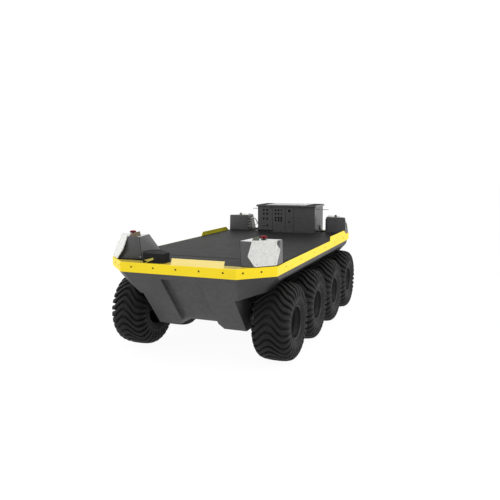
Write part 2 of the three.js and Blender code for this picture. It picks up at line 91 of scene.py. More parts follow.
BUTTON_UNDER_CAP = 1.004
BUTTON_PROFILE = (  # the cap's outline from its underside up, as shares of its radius and of its height
    (0.93, 0), (1, 0.08), (1, 0.46), (0.96, 0.62), (0.84, 0.78), (0.66, 0.9), (0.42, 0.97), (0.2, 1),
)
BUTTON_BORE = 0.01
CAD_BORE_REACH = 0.016  # a pod's corners lie farther than this from its button's axis
# Front pods: foot and head of each dark seam, and the block on the top as a plan outline, all for +X
POD_SEAMS = {
    "left": (((0.473, -1.322, 0.811), (0.435, -1.255, 0.988)),),
    "right": (
        ((0.403, -1.282, 0.811), (0.418, -1.282, 0.988)),
        ((0.529, -1.303, 0.811), (0.535, -1.272, 0.988)),
    ),
}
POD_BLOCK = {
    "left": ((0.548, -1.257), (0.582, -1.224), (0.551, -1.192), (0.52, -1.222)),
    "right": ((0.446, -1.279), (0.525, -1.272), (0.525, -1.19), (0.464, -1.19)),
}
POD_BLOCK_TOP = {"left": (1.018, 1.028, 1.018, 1.006), "right": (1.026, 1.004, 1.004, 1.026)}
POD_BLOCK_TAPER = 0.82
REAR_BLOCK = ((0.485, 1.17), (0.548, 1.23))
COLLAR_TOP = 0.9992
# Sockets on a rear pod's inner side as (y, z, radius) from its low corner
SOCKETS = (
    (0.04, 0.03, 0.009), (0.04, 0.062, 0.007), (0.04, 0.094, 0.009), (0.04, 0.134, 0.006),
    (0.085, 0.15, 0.006), (0.085, 0.094, 0.008), (0.085, 0.064, 0.006), (0.12, 0.15, 0.006),
    (0.128, 0.06, 0.007), (0.128, 0.03, 0.009), (0.128, 0.09, 0.006),
)
HINGE_SPOTS = (-0.22, 0.22)  # from the lid's middle
CATCH_SPOTS = (-0.2, 0.2)
# The electronics box's front, from its low corner: gaps between panels, holes as (x, z, radius), plugs
BOX_SEAMS = (0.18, 0.337, 0.44)
VENTS = (
    *((x, z, 0.012) for x in (0.075, 0.117) for z in (0.252, 0.209, 0.152, 0.075)),
    *((x, z, 0.012) for x in (0.22, 0.256) for z in (0.252, 0.212, 0.165, 0.136)),
    (0.289, 0.252, 0.0085), (0.289, 0.212, 0.0085), (0.289, 0.165, 0.013), (0.289, 0.136, 0.0125),
    (0.385, 0.247, 0.015), (0.385, 0.118, 0.011),
)
PLUGS = (0.022, 0.056, 0.092, 0.128, 0.164)
DUCT_OUTLINE = ((-0.12, -1.332), (-0.29, -1.192), (-0.36, -1.262), (-0.35, -1.342), (-0.256, -1.383))
# The yellow tab's foot and its slanted bar as (x, z)
TAB_OUTLINES = (
    ((-0.29, 0.811), (-0.265, 0.811), (-0.265, 0.826), (-0.29, 0.832)),
    ((-0.29, 0.832), (-0.208, 0.853), (-0.208, 0.837), (-0.265, 0.817), (-0.29, 0.812)),
)
FLOOR_GLOW = 0.95
CAMERA_PLACE = (2.0223, -4.9486, 1.483)
CAMERA_TURNS = (22.1694, -7.9578, -0.3106)  # yaw, pitch and roll in degrees
CAMERA_LENS = 39.4

# Cable centre lines, pod to box
SIGNAL_ROUTE = (
    (-0.4777, 1.163, 0.94), (-0.462, 1.163, 0.94), (-0.436, 1.161, 0.952), (-0.4, 1.158, 0.95),
    (-0.368, 1.156, 0.905), (-0.34, 1.154, 0.868), (-0.316, 1.153, 0.868), (-0.3003, 1.153, 0.868),
)
POWER_ROUTE = (
    (-0.4777, 1.128, 0.85), (-0.462, 1.128, 0.85), (-0.432, 1.123, 0.838), (-0.39, 1.113, 0.828),
    (-0.345, 1.106, 0.838), (-0.316, 1.105, 0.85), (-0.3003, 1.105, 0.85),
)
ANTENNA_ROUTE = (
    (-0.479, 1.215, 0.905), (-0.462, 1.214, 0.905), (-0.43, 1.205, 0.88), (-0.395, 1.19, 0.876),
    (-0.35, 1.188, 0.925), (-0.318, 1.188, 0.96), (-0.3, 1.188, 0.962),
)

# One tyre lug as (share of the pitch, share of the lug's height)
LUG_STEPS = ((0, 0), (0.27, 0), (0.33, 0.88), (0.37, 1), (0.6, 1), (0.84, 0.96), (0.91, 0.85), (0.97, 0.05))
# Tread from the centre line outward as (x, lug-top radius, lug height), then the side wall and the bore
TREAD_ROWS = (
    (0.0, 0.3185, 0.018), (0.025, 0.3182, 0.018), (0.05, 0.3172, 0.018), (0.075, 0.315, 0.019),
    (0.1, 0.31, 0.02), (0.118, 0.303, 0.022), (0.132, 0.292, 0.023), (0.143, 0.277, 0.022),
    (0.15, 0.26, 0.018), (0.1525, 0.243, 0.014), (0.1525, 0.228, 0.01), (0.151, 0.214, 0.0045),
)
WALL_ROWS = (
    (0.149, 0.2), (0.1478, 0.1925), (0.1494, 0.1895), (0.1494, 0.1835), (0.147, 0.18),
    (0.1452, 0.168), (0.1415, 0.156), (0.137, 0.1465), (0.1345, 0.141), (0.1318, 0.136), (0.129, 0.132),
)
BORE_ROWS = ((0.127, 0.1292), (0.115, 0.1292), (-0.115, 0.1292), (-0.127, 0.1292))

SPROCKET = (0.3, 0.312)  # from the chassis' centre plane
SPROCKET_TEETH = 20
# One tooth as (share of the pitch, radius)
TOOTH = ((0.0, 0.0515), (0.25, 0.0515), (0.42, 0.0578), (0.58, 0.0578), (0.75, 0.0515))
CHAIN_LINKS = 222


# ---- Mesh helpers ----


def settled(thing, **settings):
    """Makes some of the thing's settings, in the order given, and returns it."""
    for key, value in settings.items():
        setattr(thing, key, value)
    return thing


def meshed(name, bm):
    """Moves what is being built into a mesh of its own."""
    mesh = bpy.data.meshes.new(name)
    bm.to_mesh(mesh)
    bm.free()
    return mesh


def taken(bm, mesh):
    """Adds a mesh's faces to what is being built and removes the mesh."""
    bm.from_mesh(mesh)
    bpy.data.meshes.remove(mesh)
    return bm


def node_mesh(node):
    """A welded copy of a CAD node's mesh with its flat faces in one piece each."""
    bm = bmesh.new()
    bm.from_mesh(NODES[node].data)
    bmesh.ops.remove_doubles(bm, verts=bm.verts, dist=REST_POSE_TOLERANCE)
    bmesh.ops.dissolve_limit(bm, angle_limit=radians(1), verts=bm.verts, edges=bm.edges)
    return bm


def rounded(bm, width, segments=2, limit=25, keep=lambda edge: True, clamp=False):
    """Rounds every edge that turns by more than `limit` degrees and that `keep` accepts."""
    turn = radians(limit)
    edges = [e for e in bm.edges if len(e.link_faces) == 2 and e.calc_face_angle(0) > turn and keep(e)]
    bmesh.ops.bevel(
        bm, geom=edges, offset=width, segments=segments, profile=0.5, affect="EDGES", clamp_overlap=clamp
    )
    return bm


def polar(radius, angle):
    return radius * cos(angle), radius * sin(angle)


def skinned(bm, lower, upper):
    """Faces between two rings of vertices; where a ring is a single point they are triangles."""
    for k in range(len(lower)):
        m = (k + 1) % len(lower)
        corners = list(dict.fromkeys((lower[k], lower[m], upper[m], upper[k])))
        if len(corners) > 2:
            bm.faces.new(corners)


def turned(bm, profile, sides, place=Matrix.Identity(4), closed=False):
    """Turns a profile of (radius, height) points about Z, then moves it to `place`."""
    rings = []
    for radius, height in profile:
        if radius < 1e-9:
            rings.append([bm.verts.new(place @ Vector((0, 0, height)))] * sides)
        else:
            points = [(*polar(radius, 2 * pi * i / sides), height) for i in range(sides)]
            rings.append([bm.verts.new(place @ Vector(point)) for point in points])
    for lower, upper in zip(rings, rings[1:] + (rings[:1] if closed else [])):
        skinned(bm, lower, upper)
    return bm


def rod(bm, radius, low, high, sides, place):
    """A cylinder between two heights on the Z of `place`."""
    return turned(bm, [(0, low), (radius, low), (radius, high), (0, high)], sides, place)


def facing(point, normal):
    """The place whose Z runs along `normal` from `point`."""
    return Matrix.Translation(point) @ Vector(normal).to_track_quat("Z", "Y").to_matrix().to_4x4()


def convex(bm, points, bevel=0.0, limit=10, clamp=True):
    """The convex solid of some points, with rounded edges."""
    made = bmesh.new()
    for point in points:
        made.verts.new(point)
    hull = bmesh.ops.convex_hull(made, input=made.verts[:])
    spare = {*hull["geom_interior"], *hull["geom_unused"]}
    bmesh.ops.delete(made, geom=[v for v in spare if isinstance(v, bmesh.types.BMVert)], context="VERTS")
    bmesh.ops.dissolve_limit(made, angle_limit=radians(0.5), verts=made.verts, edges=made.edges)
    if bevel:
        rounded(made, bevel, 2, limit, clamp=clamp)
    return taken(bm, meshed("joined", made))


def prism(bm, outline, low, high, bevel):
    """A plate with a convex plan outline between two heights."""
    return convex(bm, [(x, y, z) for z in (low, high) for x, y in outline], bevel)


def swept(bm, rings):
    """Skins closed rings of points in their order and closes both ends."""
    loops = [[bm.verts.new(point) for point in ring] for ring in rings]
    for lower, upper in zip(loops, loops[1:]):
        skinned(bm, lower, upper)
    bm.faces.new(loops[0][::-1])
    bm.faces.new(loops[-1])
    return bm


def slab(bm, start, end, bevel=0.0):
    """A block between two opposite corners, with rounded edges."""
    made = bmesh.new()
    bmesh.ops.create_cube(made, size=1)
    size = [abs(b - a) for a, b in zip(start, end)]
    centre = (Vector(start) + Vector(end)) / 2
    made.transform(Matrix.Translation(centre) @ Matrix.Diagonal((*size, 1)))
    if bevel:
        rounded(made, bevel, clamp=True)
    return taken(bm, meshed("joined", made))


def carved(bm, tools):
    """The mesh with the tools' volume cut out of it."""
    holders = []
    for part in (bm, tools):
        bmesh.ops.recalc_face_normals(part, faces=part.faces)
        holders.append(added("carving", meshed("carving", part)))
    cut = holders[0].modifiers.new("cut", "BOOLEAN")
    settled(cut, operation="DIFFERENCE", solver="EXACT", use_self=True, object=holders[1])
    result = bpy.data.meshes.new_from_object(holders[0].evaluated_get(bpy.context.evaluated_depsgraph_get()))
    for holder in holders:
        bpy.data.objects.remove(holder)
    return taken(bmesh.new(), result)


def bolt(bm, point, normal, radius, height):
    """A low dome head with a round socket."""
    place = facing(point, normal)
    socket = radius * 0.42
    profile = [
        (0, -0.001), (radius, -0.001), (radius, height * 0.35), (radius * 0.86, height * 0.78),
        (radius * 0.6, height), (socket, height), (socket, height * 0.35), (0, height * 0.35),
    ]
    return turned(bm, profile, 18, place)


def hex_nut(bm, point, radius, height):
    """A hexagon nut that faces +Z, with chamfered corners and the end of its stud."""
    place = Matrix.Translation(point)
    stud = radius * 0.5
    nut = [(0, 0), (radius, 0), (radius, height * 0.85), (radius * 0.88, height), (0, height)]
    turned(bm, nut, 6, place)
    end = [(0, height * 0.9), (stud, height * 0.9), (stud, height * 1.25), (0, height * 1.3)]
    return turned(bm, end, 12, place)


def baked(name, bm, material, sharp=SHARP_ANGLE):
    """A mesh of one material, smooth but for its sharp edges."""
    bmesh.ops.recalc_face_normals(bm, faces=bm.faces)
    for face in bm.faces:
        face.smooth = True
    for edge in bm.edges:
        edge.smooth = not (len(edge.link_faces) == 2 and edge.calc_face_angle(0) > sharp)
    mesh = meshed(name, bm)
    mesh.materials.append(material)
    return mesh


def added(name, data):
    obj = bpy.data.objects.new(name, data)
    bpy.context.scene.collection.objects.link(obj)
    return obj


def placed(name, mesh, body, replaces, place=Matrix.Identity(4)):
    """An object of the mesh that rides on a body and may stand in for CAD nodes."""
    obj = added(name, mesh)
    obj.matrix_world = place
    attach(obj, body)
    if replaces:
        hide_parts(*replaces)
    return obj


def piece(name, bm, material, replaces=(), body="root", sharp=SHARP_ANGLE):
    """A placed object whose flat faces are shaded flat."""
    obj = placed(name, baked(name, bm, material, sharp), body, replaces)
    settled(obj.modifiers.new("flat_faces", "WEIGHTED_NORMAL"), keep_sharp=True)


def middle(node):
    low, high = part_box(node)
    return (low + high) / 2


# ---- Materials ----


class Nodes:
    """A material's node tree, with short calls for the nodes that every finish here uses."""

    def __init__(self, name):
        self.material = bpy.data.materials.new(name)
        self.material.use_nodes = True
        self.tree = self.material.node_tree
        self.shader = self.tree.nodes["Principled BSDF"]
        self.points = self.add("ShaderNodeTexCoord").outputs["Object"]

    def fill(self, node, inputs):
        """Links or sets a node's inputs, and leaves those that are None."""
        for key, value in inputs.items():
            if isinstance(value, bpy.types.NodeSocket):
                self.tree.links.new(value, node.inputs[key])
            elif value is not None:
                node.inputs[key].default_value = value

    def add(self, kind, inputs={}, **settings):
        node = settled(self.tree.nodes.new(kind), **settings)
        self.fill(node, inputs)
        return node

    def stretched(self, scale):
        return self.add("ShaderNodeMapping", {"Vector": self.points, "Scale": scale}).outputs["Vector"]

    def noise(self, scale, detail=4.0, roughness=0.55, points=None):
        inputs = {"Vector": points or self.points, "Scale": scale, "Detail": detail, "Roughness": roughness}
        return self.add("ShaderNodeTexNoise", inputs).outputs["Fac"]

    def cells(self, scale, feature="F1", points=None):
        inputs = {"Vector": points or self.points, "Scale": scale}
        return self.add("ShaderNodeTexVoronoi", inputs, feature=feature).outputs["Distance"]

    def spread(self, value, low, high, new_low=0, new_high=1):
        inputs = {"Value": value, "From Min": low, "From Max": high, "To Min": new_low, "To Max": new_high}
        return self.add("ShaderNodeMapRange", inputs).outputs["Result"]

    def maths(self, operation, a, b):
        return self.add("ShaderNodeMath", {0: a, 1: b}, operation=operation).outputs["Value"]

    def mixed(self, share, a, b):
        """Mixes two colours, each a screen colour's code, a linear colour or an output."""
        a, b = (linear(colour) if isinstance(colour, str) else colour for colour in (a, b))
        return self.add("ShaderNodeMix", {0: share, 6: a, 7: b}, data_type="RGBA").outputs[2]

    def bump(self, height, strength, distance, below=None):
        inputs = {"Height": height, "Strength": strength, "Distance": distance, "Normal": below}
        return self.add("ShaderNodeBump", inputs).outputs["Normal"]

    def finish(self, colour, roughness=None, normal=None, metallic=0.0, coat=0.0, specular=0.5):
        self.fill(self.shader, {
            "Base Color": colour, "Roughness": roughness, "Normal": normal, "Metallic": metallic,
            "Coat Weight": coat, "Specular IOR Level": specular,
        })
        return self.material


def linear(code, gain=1.0):
    """A screen colour such as 4b4b4b as the linear colour a shader takes, times `gain`."""
    channels = [int(code[i : i + 2], 16) / 255 for i in (0, 2, 4)]
    return *(gain * (c / 12.92 if c <= 0.04045 else ((c + 0.055) / 1.055) ** 2.4) for c in channels), 1


def under_rail_shade(n):
    """1 where the tub's sides turn under above the wheels, below the rail: where painted shade stands in for
    the shadow there.
    """
    place = n.add("ShaderNodeSeparateXYZ", {"Vector": n.points}).outputs
    normal = n.add("ShaderNodeNewGeometry").outputs["Normal"]
    tilt = n.add("ShaderNodeSeparateXYZ", {"Vector": normal}).outputs
    beside = n.spread(n.maths("ABSOLUTE", place["X"], 0), 0.6, 0.64)
    behind = n.spread(place["Y"], -1.22, -1.18)
    under = n.spread(tilt["Z"], -0.1, -0.3)
    return n.maths("MULTIPLY", n.maths("MULTIPLY", beside, behind), under)


def moulded(name, light, dark, rough, specular=0.4, under_shade=False):
    """Moulded plastic: a fine pebble grain, cloudy colour and faint scuffs, with painted shade under the rail
    when asked.
    """
    n = Nodes(name)
    cloud = n.spread(n.noise(3.5, 5), 0.35, 0.7)
    speck = n.spread(n.noise(900, 2), 0.62, 0.72, 0, 0.35)
    scuff = n.spread(n.noise(1.0, 8, 0.75, n.stretched((9, 60, 14))), 0.63, 0.72, 0, 0.3)
    colour = n.mixed(n.maths("MAXIMUM", speck, scuff), n.mixed(cloud, dark, light), linear(light, 1.7))
    if under_shade:
        # Near black under the rail's overhang: painted shade in place of the shadow there.
        colour = n.mixed(under_rail_shade(n), colour, "090909")
    normal = n.bump(n.cells(420), 0.35, 0.00025, n.bump(n.noise(14, 3), 0.12, 0.004))
    roughness = n.spread(n.noise(22, 5), 0.3, 0.7, rough - 0.07, rough + 0.09)
    return n.finish(colour, roughness, normal, specular=specular)


def painted(name, light, dark, rough=0.42, grime=0.25, specular=0.5, worn=None, peel=260):
    """Powder coat: orange peel, drifting tone, streaks of grime and, with a colour for them, small chips."""
    n = Nodes(name)
    base = n.mixed(n.spread(n.noise(2.2, 4), 0.3, 0.7), dark, light)
    stain = n.spread(n.noise(1.0, 9, 0.7, n.stretched((7, 7, 26))), 0.56, 0.76, 0, grime)
    dirty = n.mixed(stain, base, linear(dark, 0.42))
    chips = n.spread(n.noise(160, 6, 0.8), 0.735, 0.745, 0, 1 if worn else 0)
    colour = n.mixed(chips, dirty, worn or dark)
    roughness = n.spread(n.noise(30, 6), 0.3, 0.7, rough - 0.06, rough + 0.1)
    return n.finish(colour, roughness, n.bump(n.noise(peel, 2), 0.16, 0.0006), specular=specular)


def deck_finish():
    """Worn deck coat: dull, with fine grains and dusty patches."""
    n = Nodes("deck_coat")
    grains = n.cells(210)
    patches = n.spread(n.noise(1.3, 7, 0.62), 0.35, 0.68)
    crests = n.spread(grains, 0.15, 0.55, 0.16, 0)
    colour = n.mixed(crests, n.mixed(patches, "171717", "1a1a19"), "2a2a28")
    roughness = n.spread(n.noise(9, 6), 0.3, 0.7, 0.49, 0.53)
    return n.finish(colour, roughness, n.bump(grains, 0.12, 0.0004), specular=0.05)


def rubber_finish():
    """Tyre rubber: near black, dry, with a faint bloom and fine mould marks."""
    n = Nodes("tyre_rubber")
    bloom = n.spread(n.noise(11, 6, 0.65), 0.4, 0.72)
    dust = n.spread(n.noise(48, 7, 0.7), 0.55, 0.8, 0, 0.12)
    colour = n.mixed(dust, n.mixed(bloom, "161616", "1e1e1e"), "3c3a37")
    normal = n.bump(n.noise(340, 4), 0.3, 0.0008, n.bump(n.noise(40, 3), 0.15, 0.002))
    return n.finish(colour, n.spread(n.noise(25, 5), 0.3, 0.7, 0.6, 0.82), normal, specular=0.18)


def sheeting_finish():
    """Retro-reflective sheet: pale, with a honeycomb of sealed cells drawn from the panel's own plane."""
    n = Nodes("panel_sheeting")
    flat = n.add("ShaderNodeUVMap").outputs["UV"]
    walls = n.spread(n.cells(95, "DISTANCE_TO_EDGE", flat), 0.03, 0.11, 1, 0)
    haze = n.spread(n.noise(30, 5, 0.6, flat), 0.3, 0.7)
    colour = n.mixed(n.maths("MULTIPLY", walls, 0.5), n.mixed(haze, "b8b9b5", "c5c5c1"), "8c8d89")
    return n.finish(colour, n.spread(walls, 0, 1, 0.28, 0.45), n.bump(walls, 0.25, 0.0006), coat=0.3)


def metal_finish(name, light, dark, rough=0.34, along=(4, 220, 220)):
    """Machined or rolled steel with fine lines, oil tint and small pits."""
    n = Nodes(name)
    lines = n.noise(1.0, 5, 0.6, n.stretched(along))
    colour = n.mixed(n.spread(n.noise(18, 5), 0.35, 0.7), light, dark)
    normal = n.bump(lines, 0.18, 0.0004, n.bump(n.noise(420, 3), 0.1, 0.0004))
    return n.finish(colour, n.spread(lines, 0.3, 0.7, rough - 0.08, rough + 0.12), normal, metallic=0.9)


def gloss_finish(name, light, dark, rough=0.24):
    """Glossy moulded plastic with hairline scratches."""
    n = Nodes(name)
    colour = n.mixed(n.spread(n.noise(40, 4), 0.35, 0.7), dark, light)
    scratches = n.noise(1.0, 7, 0.8, n.stretched((900, 60, 300)))
    roughness = n.spread(scratches, 0.35, 0.7, rough, rough + 0.16)
    return n.finish(colour, roughness, n.bump(scratches, 0.06, 0.0003), coat=0.4)


def jacket_finish(name, light, dark):
    """A cable's drawn jacket: fine lengthwise ribs and a soft sheen."""
    n = Nodes(name)
    ribs = n.noise(1.0, 3, 0.5, n.stretched((60, 900, 900)))
    colour = n.mixed(n.spread(n.noise(70, 4), 0.35, 0.7), dark, light)
    return n.finish(colour, n.spread(ribs, 0.3, 0.7, 0.42, 0.6), n.bump(ribs, 0.2, 0.0003), specular=0.4)


# The hull gets painted shade where its sides turn under the rail.
HULL = moulded("hull_plastic", "3c3c3c", "343434", rough=0.56, under_shade=True)
DECK = deck_finish()
RAIL = painted("rail_yellow", "ebd00a", "e4c800", 0.44, 0.14, 0.35, worn="6e6650")
# The front guard's paler yellow is a painted highlight, where it leans back into the light.
GUARD_HIGHLIT = painted("guard_yellow_painted_highlight", "e3cf80", "dbc76e", 0.36, 0.1, worn="6e6650")
# The side guards' backs: the rail's yellow in painted shade.
GUARD_BACK_SHADED = painted("guard_back_painted_shade", "98931e", "8a8518", 0.6, 0.2, 0.15)
# The tab's olive is painted shade on its yellow paint.
TAB_SHADED = painted("tab_yellow_painted_shade", "b0a440", "a39736", 0.5, 0.1)
# The top flange's olive is painted shade on the rail's yellow paint.
FLANGE_SHADED = painted("flange_yellow_painted_shade", "9c8b2c", "917f24", 0.5, 0.2, 0.3)
POD = painted("pod_coat", "414143", "38383a", 0.3, 0.2, worn="747476")
BOX = painted("box_coat", "353536", "2d2d2e", 0.32, 0.2, worn="6c6c6e")
LID = painted("lid_coat", "2d2d2e", "262627", 0.16, 0.1, peel=90)
DARK_BOX = painted("dark_box_coat", "232324", "1c1c1d", 0.8, 0.15, 0.08, worn="4c4c4e")
# The pods' pale tops are a painted reflection of the bright sky at a grazing angle.
TOP_PLATE_REFLECTION = painted("pod_top_painted_reflection", "a9aaa8", "9a9b99", 0.2, 0.08, peel=90)
CONNECTOR_PLATE = painted("connector_plate", "39393a", "303031", 0.4, worn="6c6c6e")
PANEL = sheeting_finish()
RUBBER = rubber_finish()
RIM = painted("rim_black", "101011", "0b0b0c", 0.5, 0.1, 0.3, worn="3a3a3c")
ROD = painted("rod_grey", "77787a", "66676a", 0.35, 0.1)
STEEL = metal_finish("machined_steel", "8e9094", "6d6e70")
ZINC = metal_finish("zinc_plate", "a4a49c", "86847a", 0.3, (300, 300, 300))
CHAIN = metal_finish("oiled_chain", "5a5854", "38352f", 0.4)
MOTOR = painted("motor_coat", "34373d", "2b2e33", 0.4, worn="8a8a8c")
BATTERY = moulded("battery_case", "2a2e35", "22262c", 0.5)
# Pale yellow bolt heads: a painted highlight where the rail's faces are washed out by light.
LIT_BOLTS = painted("bolt_painted_highlight", "c2a336", "b2932a", 0.45, 0.1, 0.3)
BOLTS = painted("bolt_dark", "352f1c", "29240f", 0.45, 0.1, 0.3)
# Near black: the pods' dark seams, and painted shade at the bottom of the box's vents and gaps.
DARK = moulded("seam_black_and_recess_shade", "050505", "030303", 0.85, specular=0.1)
RED = moulded("button_red", "620a16", "520812", 0.5, specular=0.1)
LAMP = gloss_finish("lamp_red", "3c0a0c", "300709")
BLACK = gloss_finish("button_black", "1c1c1d", "131314", 0.3)
BLOCK = {
    "left": moulded("block_green", "545a4e", "484d43", 0.6, specular=0.2),
    "right": moulded("block_brown", "645a48", "564d3c", 0.6, specular=0.2),
}
LENS = gloss_finish("cap_pale", "ecece6", "dededa", 0.2)
JACKET_LIGHT = jacket_finish("cable_grey", "b4b4ae", "95958f")
JACKET_DARK = jacket_finish("cable_black", "202021", "151516")


# ---- Camera, light and floor ----


def make_camera():
    data = settled(bpy.data.cameras.new("camera"), lens=CAMERA_LENS, sensor_width=36, clip_end=200)
    camera = added("camera", data)
    yaw, pitch, roll = (radians(a) for a in CAMERA_TURNS)
    forward = Vector((-sin(yaw) * cos(pitch), cos(yaw) * cos(pitch), sin(pitch)))
    right = forward.cross(Vector((0, 0, 1))).normalized()
    up = right.cross(forward)
    right, up = right * cos(roll) + up * sin(roll), up * cos(roll) - right * sin(roll)
    turn = Matrix((right, up, -forward)).transposed()
    camera.matrix_world = Matrix.Translation(CAMERA_PLACE) @ turn.to_4x4()
    bpy.context.scene.camera = camera


def area_light(name, place, aim, size, power):
    light = added(name, settled(bpy.data.lights.new(name, "AREA"), size=size, energy=power))
    turn = (Vector(aim) - Vector(place)).to_track_quat("-Z", "Y").to_euler()
    settled(light, location=place, rotation_euler=turn)


def make_studio():
    world = bpy.data.worlds.new("studio")
    world.use_nodes = True
    background = world.node_tree.nodes["Background"]
    background.inputs["Color"].default_value = (1, 1, 1, 1)
    background.inputs["Strength"].default_value = 1.06
    bpy.context.scene.world = world
    bpy.context.scene.view_settings.view_transform = "Standard"
    area_light("top_light", (0.5, -1.0, 5.5), (0, 0, 0.5), 4.5, 130)
    area_light("left_light", (-5.0, -1.0, 2.6), (0, 0, 0.5), 3.0, 110)
    area_light("right_light", (5.5, 0.5, 2.4), (0, 0, 0.5), 3.0, 110)


def make_floor():
    """A plain pale floor, lit evenly from below so that only a faint shadow shows."""
    n = Nodes("floor_pale")
    tone = n.spread(n.noise(0.4, 3), 0.3, 0.7)
    n.finish(n.mixed(tone, (0.05, 0.05, 0.05, 1), (0.06, 0.06, 0.06, 1)), specular=0.0)
    n.fill(n.shader, {"Roughness": 1.0, "Emission Color": (1, 1, 1, 1), "Emission Strength": FLOOR_GLOW})
    mesh = meshed("floor", turned(bmesh.new(), [(0, 0), (20, 0), (60, 0)], 64))
    mesh.materials.append(n.material)
    added("floor", mesh)


make_camera()
make_studio()
make_floor()


# ---- Hull ----


def make_hull():
    """The moulded tub: every edge that can be seen from outside is rounded, as moulding leaves it."""
    bm = node_mesh("hull_tub")
    shell = bmesh.new()
    for node in ("hull_tub", "deck_plate"):
        shell.from_mesh(NODES[node].data)
    tree = BVHTree.FromBMesh(shell)
    shell.free()
    axle_height = middle("axle_left_1").z
    axle_rows = [middle(f"axle_left_{row}").y for row in WHEEL_ROWS]

    def outside(edge):
        centre = (edge.verts[0].co + edge.verts[1].co) / 2
        if any(hypot(centre.y - y, centre.z - axle_height) < 0.04 for y in axle_rows):
            return False
        out = (edge.link_faces[0].normal + edge.link_faces[1].normal).normalized()
        return tree.ray_cast(centre + out * 0.003, out)[0] is None

    rounded(bm, 0.007, 3, 16, outside)
    piece("hull_shell", bm, HULL, ["hull_tub"], sharp=radians(40))


# ---- Bumper rail ----


# The rail's outer faces, and where its chamfers meet the sides; one chamfer's normal, and how far out it lies
RAIL_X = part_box("hull_tub")[1].x + RAIL_OUT
RAIL_Y = {"front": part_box("hull_tub")[0].y - RAIL_OUT, "rear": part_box("hull_tub")[1].y + RAIL_OUT}
CORNER_Y = {"front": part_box("rail_front")[1].y, "rear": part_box("rail_rear")[0].y}
RAIL_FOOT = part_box("rail_left")[0].z
CHAMFER = Vector((RAIL_Y["rear"] - CORNER_Y["rear"], RAIL_X - STRAIGHT_HALF)).normalized()
CHAMFER_REACH = CHAMFER.dot(Vector((STRAIGHT_HALF, RAIL_Y["rear"])))


def bolt_rows():
    """Every bolt on the rail as (rail node, point, outward normal)."""
    rows = []
    for name, sign in ENDS:
        node, y = f"rail_{name}", RAIL_Y[name]
        rows += [(node, (i * END_BOLT_PITCH, y, BOLT_HEIGHT), (0, sign, 0)) for i in range(-2, 3)]
        for _, across in SIDES:
            run = Vector((across * (RAIL_X - STRAIGHT_HALF), CORNER_Y[name] - y, 0))
            normal = Vector((-run.y * sign * across, run.x * sign * across, 0)).normalized()
            start = Vector((across * STRAIGHT_HALF, y, BOLT_HEIGHT))
            rows += [(node, start + run * share, normal) for share in CHAMFER_BOLTS]
    for name, across in SIDES:
        for i in range(6):
            y = CORNER_Y["front"] + SIDE_BOLT_START + i * SIDE_BOLT_PITCH
            rows.append((f"rail_{name}", (across * RAIL_X, y, BOLT_HEIGHT), (across, 0, 0)))
    return rows


def chamfer_x(y, inset):
    """Where the chamfer's face, moved in by `inset`, crosses a y."""
    return (CHAMFER_REACH - inset - CHAMFER.y * y) / CHAMFER.x


def bar_profile(low, high, radius=0.0016):
    """The rail's rounded cross section as (inset, height)."""
    near, far = radius, RAIL_THICKNESS - radius
    low, high = low + radius, high - radius
    corners = ((near, low, 180), (far, low, 270), (far, high, 0), (near, high, 90))
    points = []
    for inset, z, start in corners:
        for turn in (0, 45, 90):
            aside, up = polar(radius, radians(start + turn))
            points.append((inset + aside, z + up))
    return points


def make_end_rail(name, sign):
    node, end, corner = f"rail_{name}", RAIL_Y["rear"], CORNER_Y["rear"]
    rings = []
    for across, y, moves in ((-1, corner, 0), (-1, end, 1), (1, end, 1), (1, corner, 0)):
        places = [(y - moves * inset, inset, z) for inset, z in bar_profile(RAIL_FOOT, RAIL_TOP)]
        rings.append([(across * chamfer_x(y, inset), sign * y, z) for y, inset, z in places])
    piece(f"{node}_bar", swept(bmesh.new(), rings), RAIL, [node])
    lap = RAIL_THICKNESS - 0.0015
    outline = [(across * chamfer_x(y, lap), sign * y) for across in (-1, 1) for y in (FLANGE_EDGE, end - lap)]
    flange = prism(bmesh.new(), outline, RAIL_TOP - FLANGE_THICKNESS, RAIL_TOP - 0.0002, 0.0006)
    # The top flange, in painted shade.
    piece(f"{node}_flange", flange, FLANGE_SHADED)


def make_side_rail(name, across):
    """A side bar, and the guard that stands on it, its back in the darker olive of painted shade."""
    node = f"rail_{name}"
    low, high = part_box(node)
    profile = bar_profile(RAIL_FOOT, RAIL_TOP - SIDE_BAR_DROP)
    rings = [[(across * (RAIL_X - inset), y, z) for inset, z in profile] for y in (low.y, high.y)]
    piece(f"{node}_bar", swept(bmesh.new(), rings), RAIL, [node])
    face, thickness = RAIL_X - 0.0005, 0.004

    def sheet(insets, top, bevel):
        edges = ((SIDE_GUARD_FOOT, face, RAIL_TOP - 0.006), (SIDE_GUARD_HEAD, face - 0.005, top))
        points = [(across * (x - inset), y, z) for inset in insets for ys, x, z in edges for y in ys]
        return convex(bmesh.new(), points, bevel)

    piece(f"{node}_guard", sheet((0, thickness), high.z, 0.0008), RAIL)
    # The back faces the dark deck: a thin sheet of painted shade.
    back = sheet((thickness - 0.0005, thickness + 0.0004), high.z - 0.0002, 0)
    piece(f"{node}_guard_back_painted_shade", back, GUARD_BACK_SHADED)


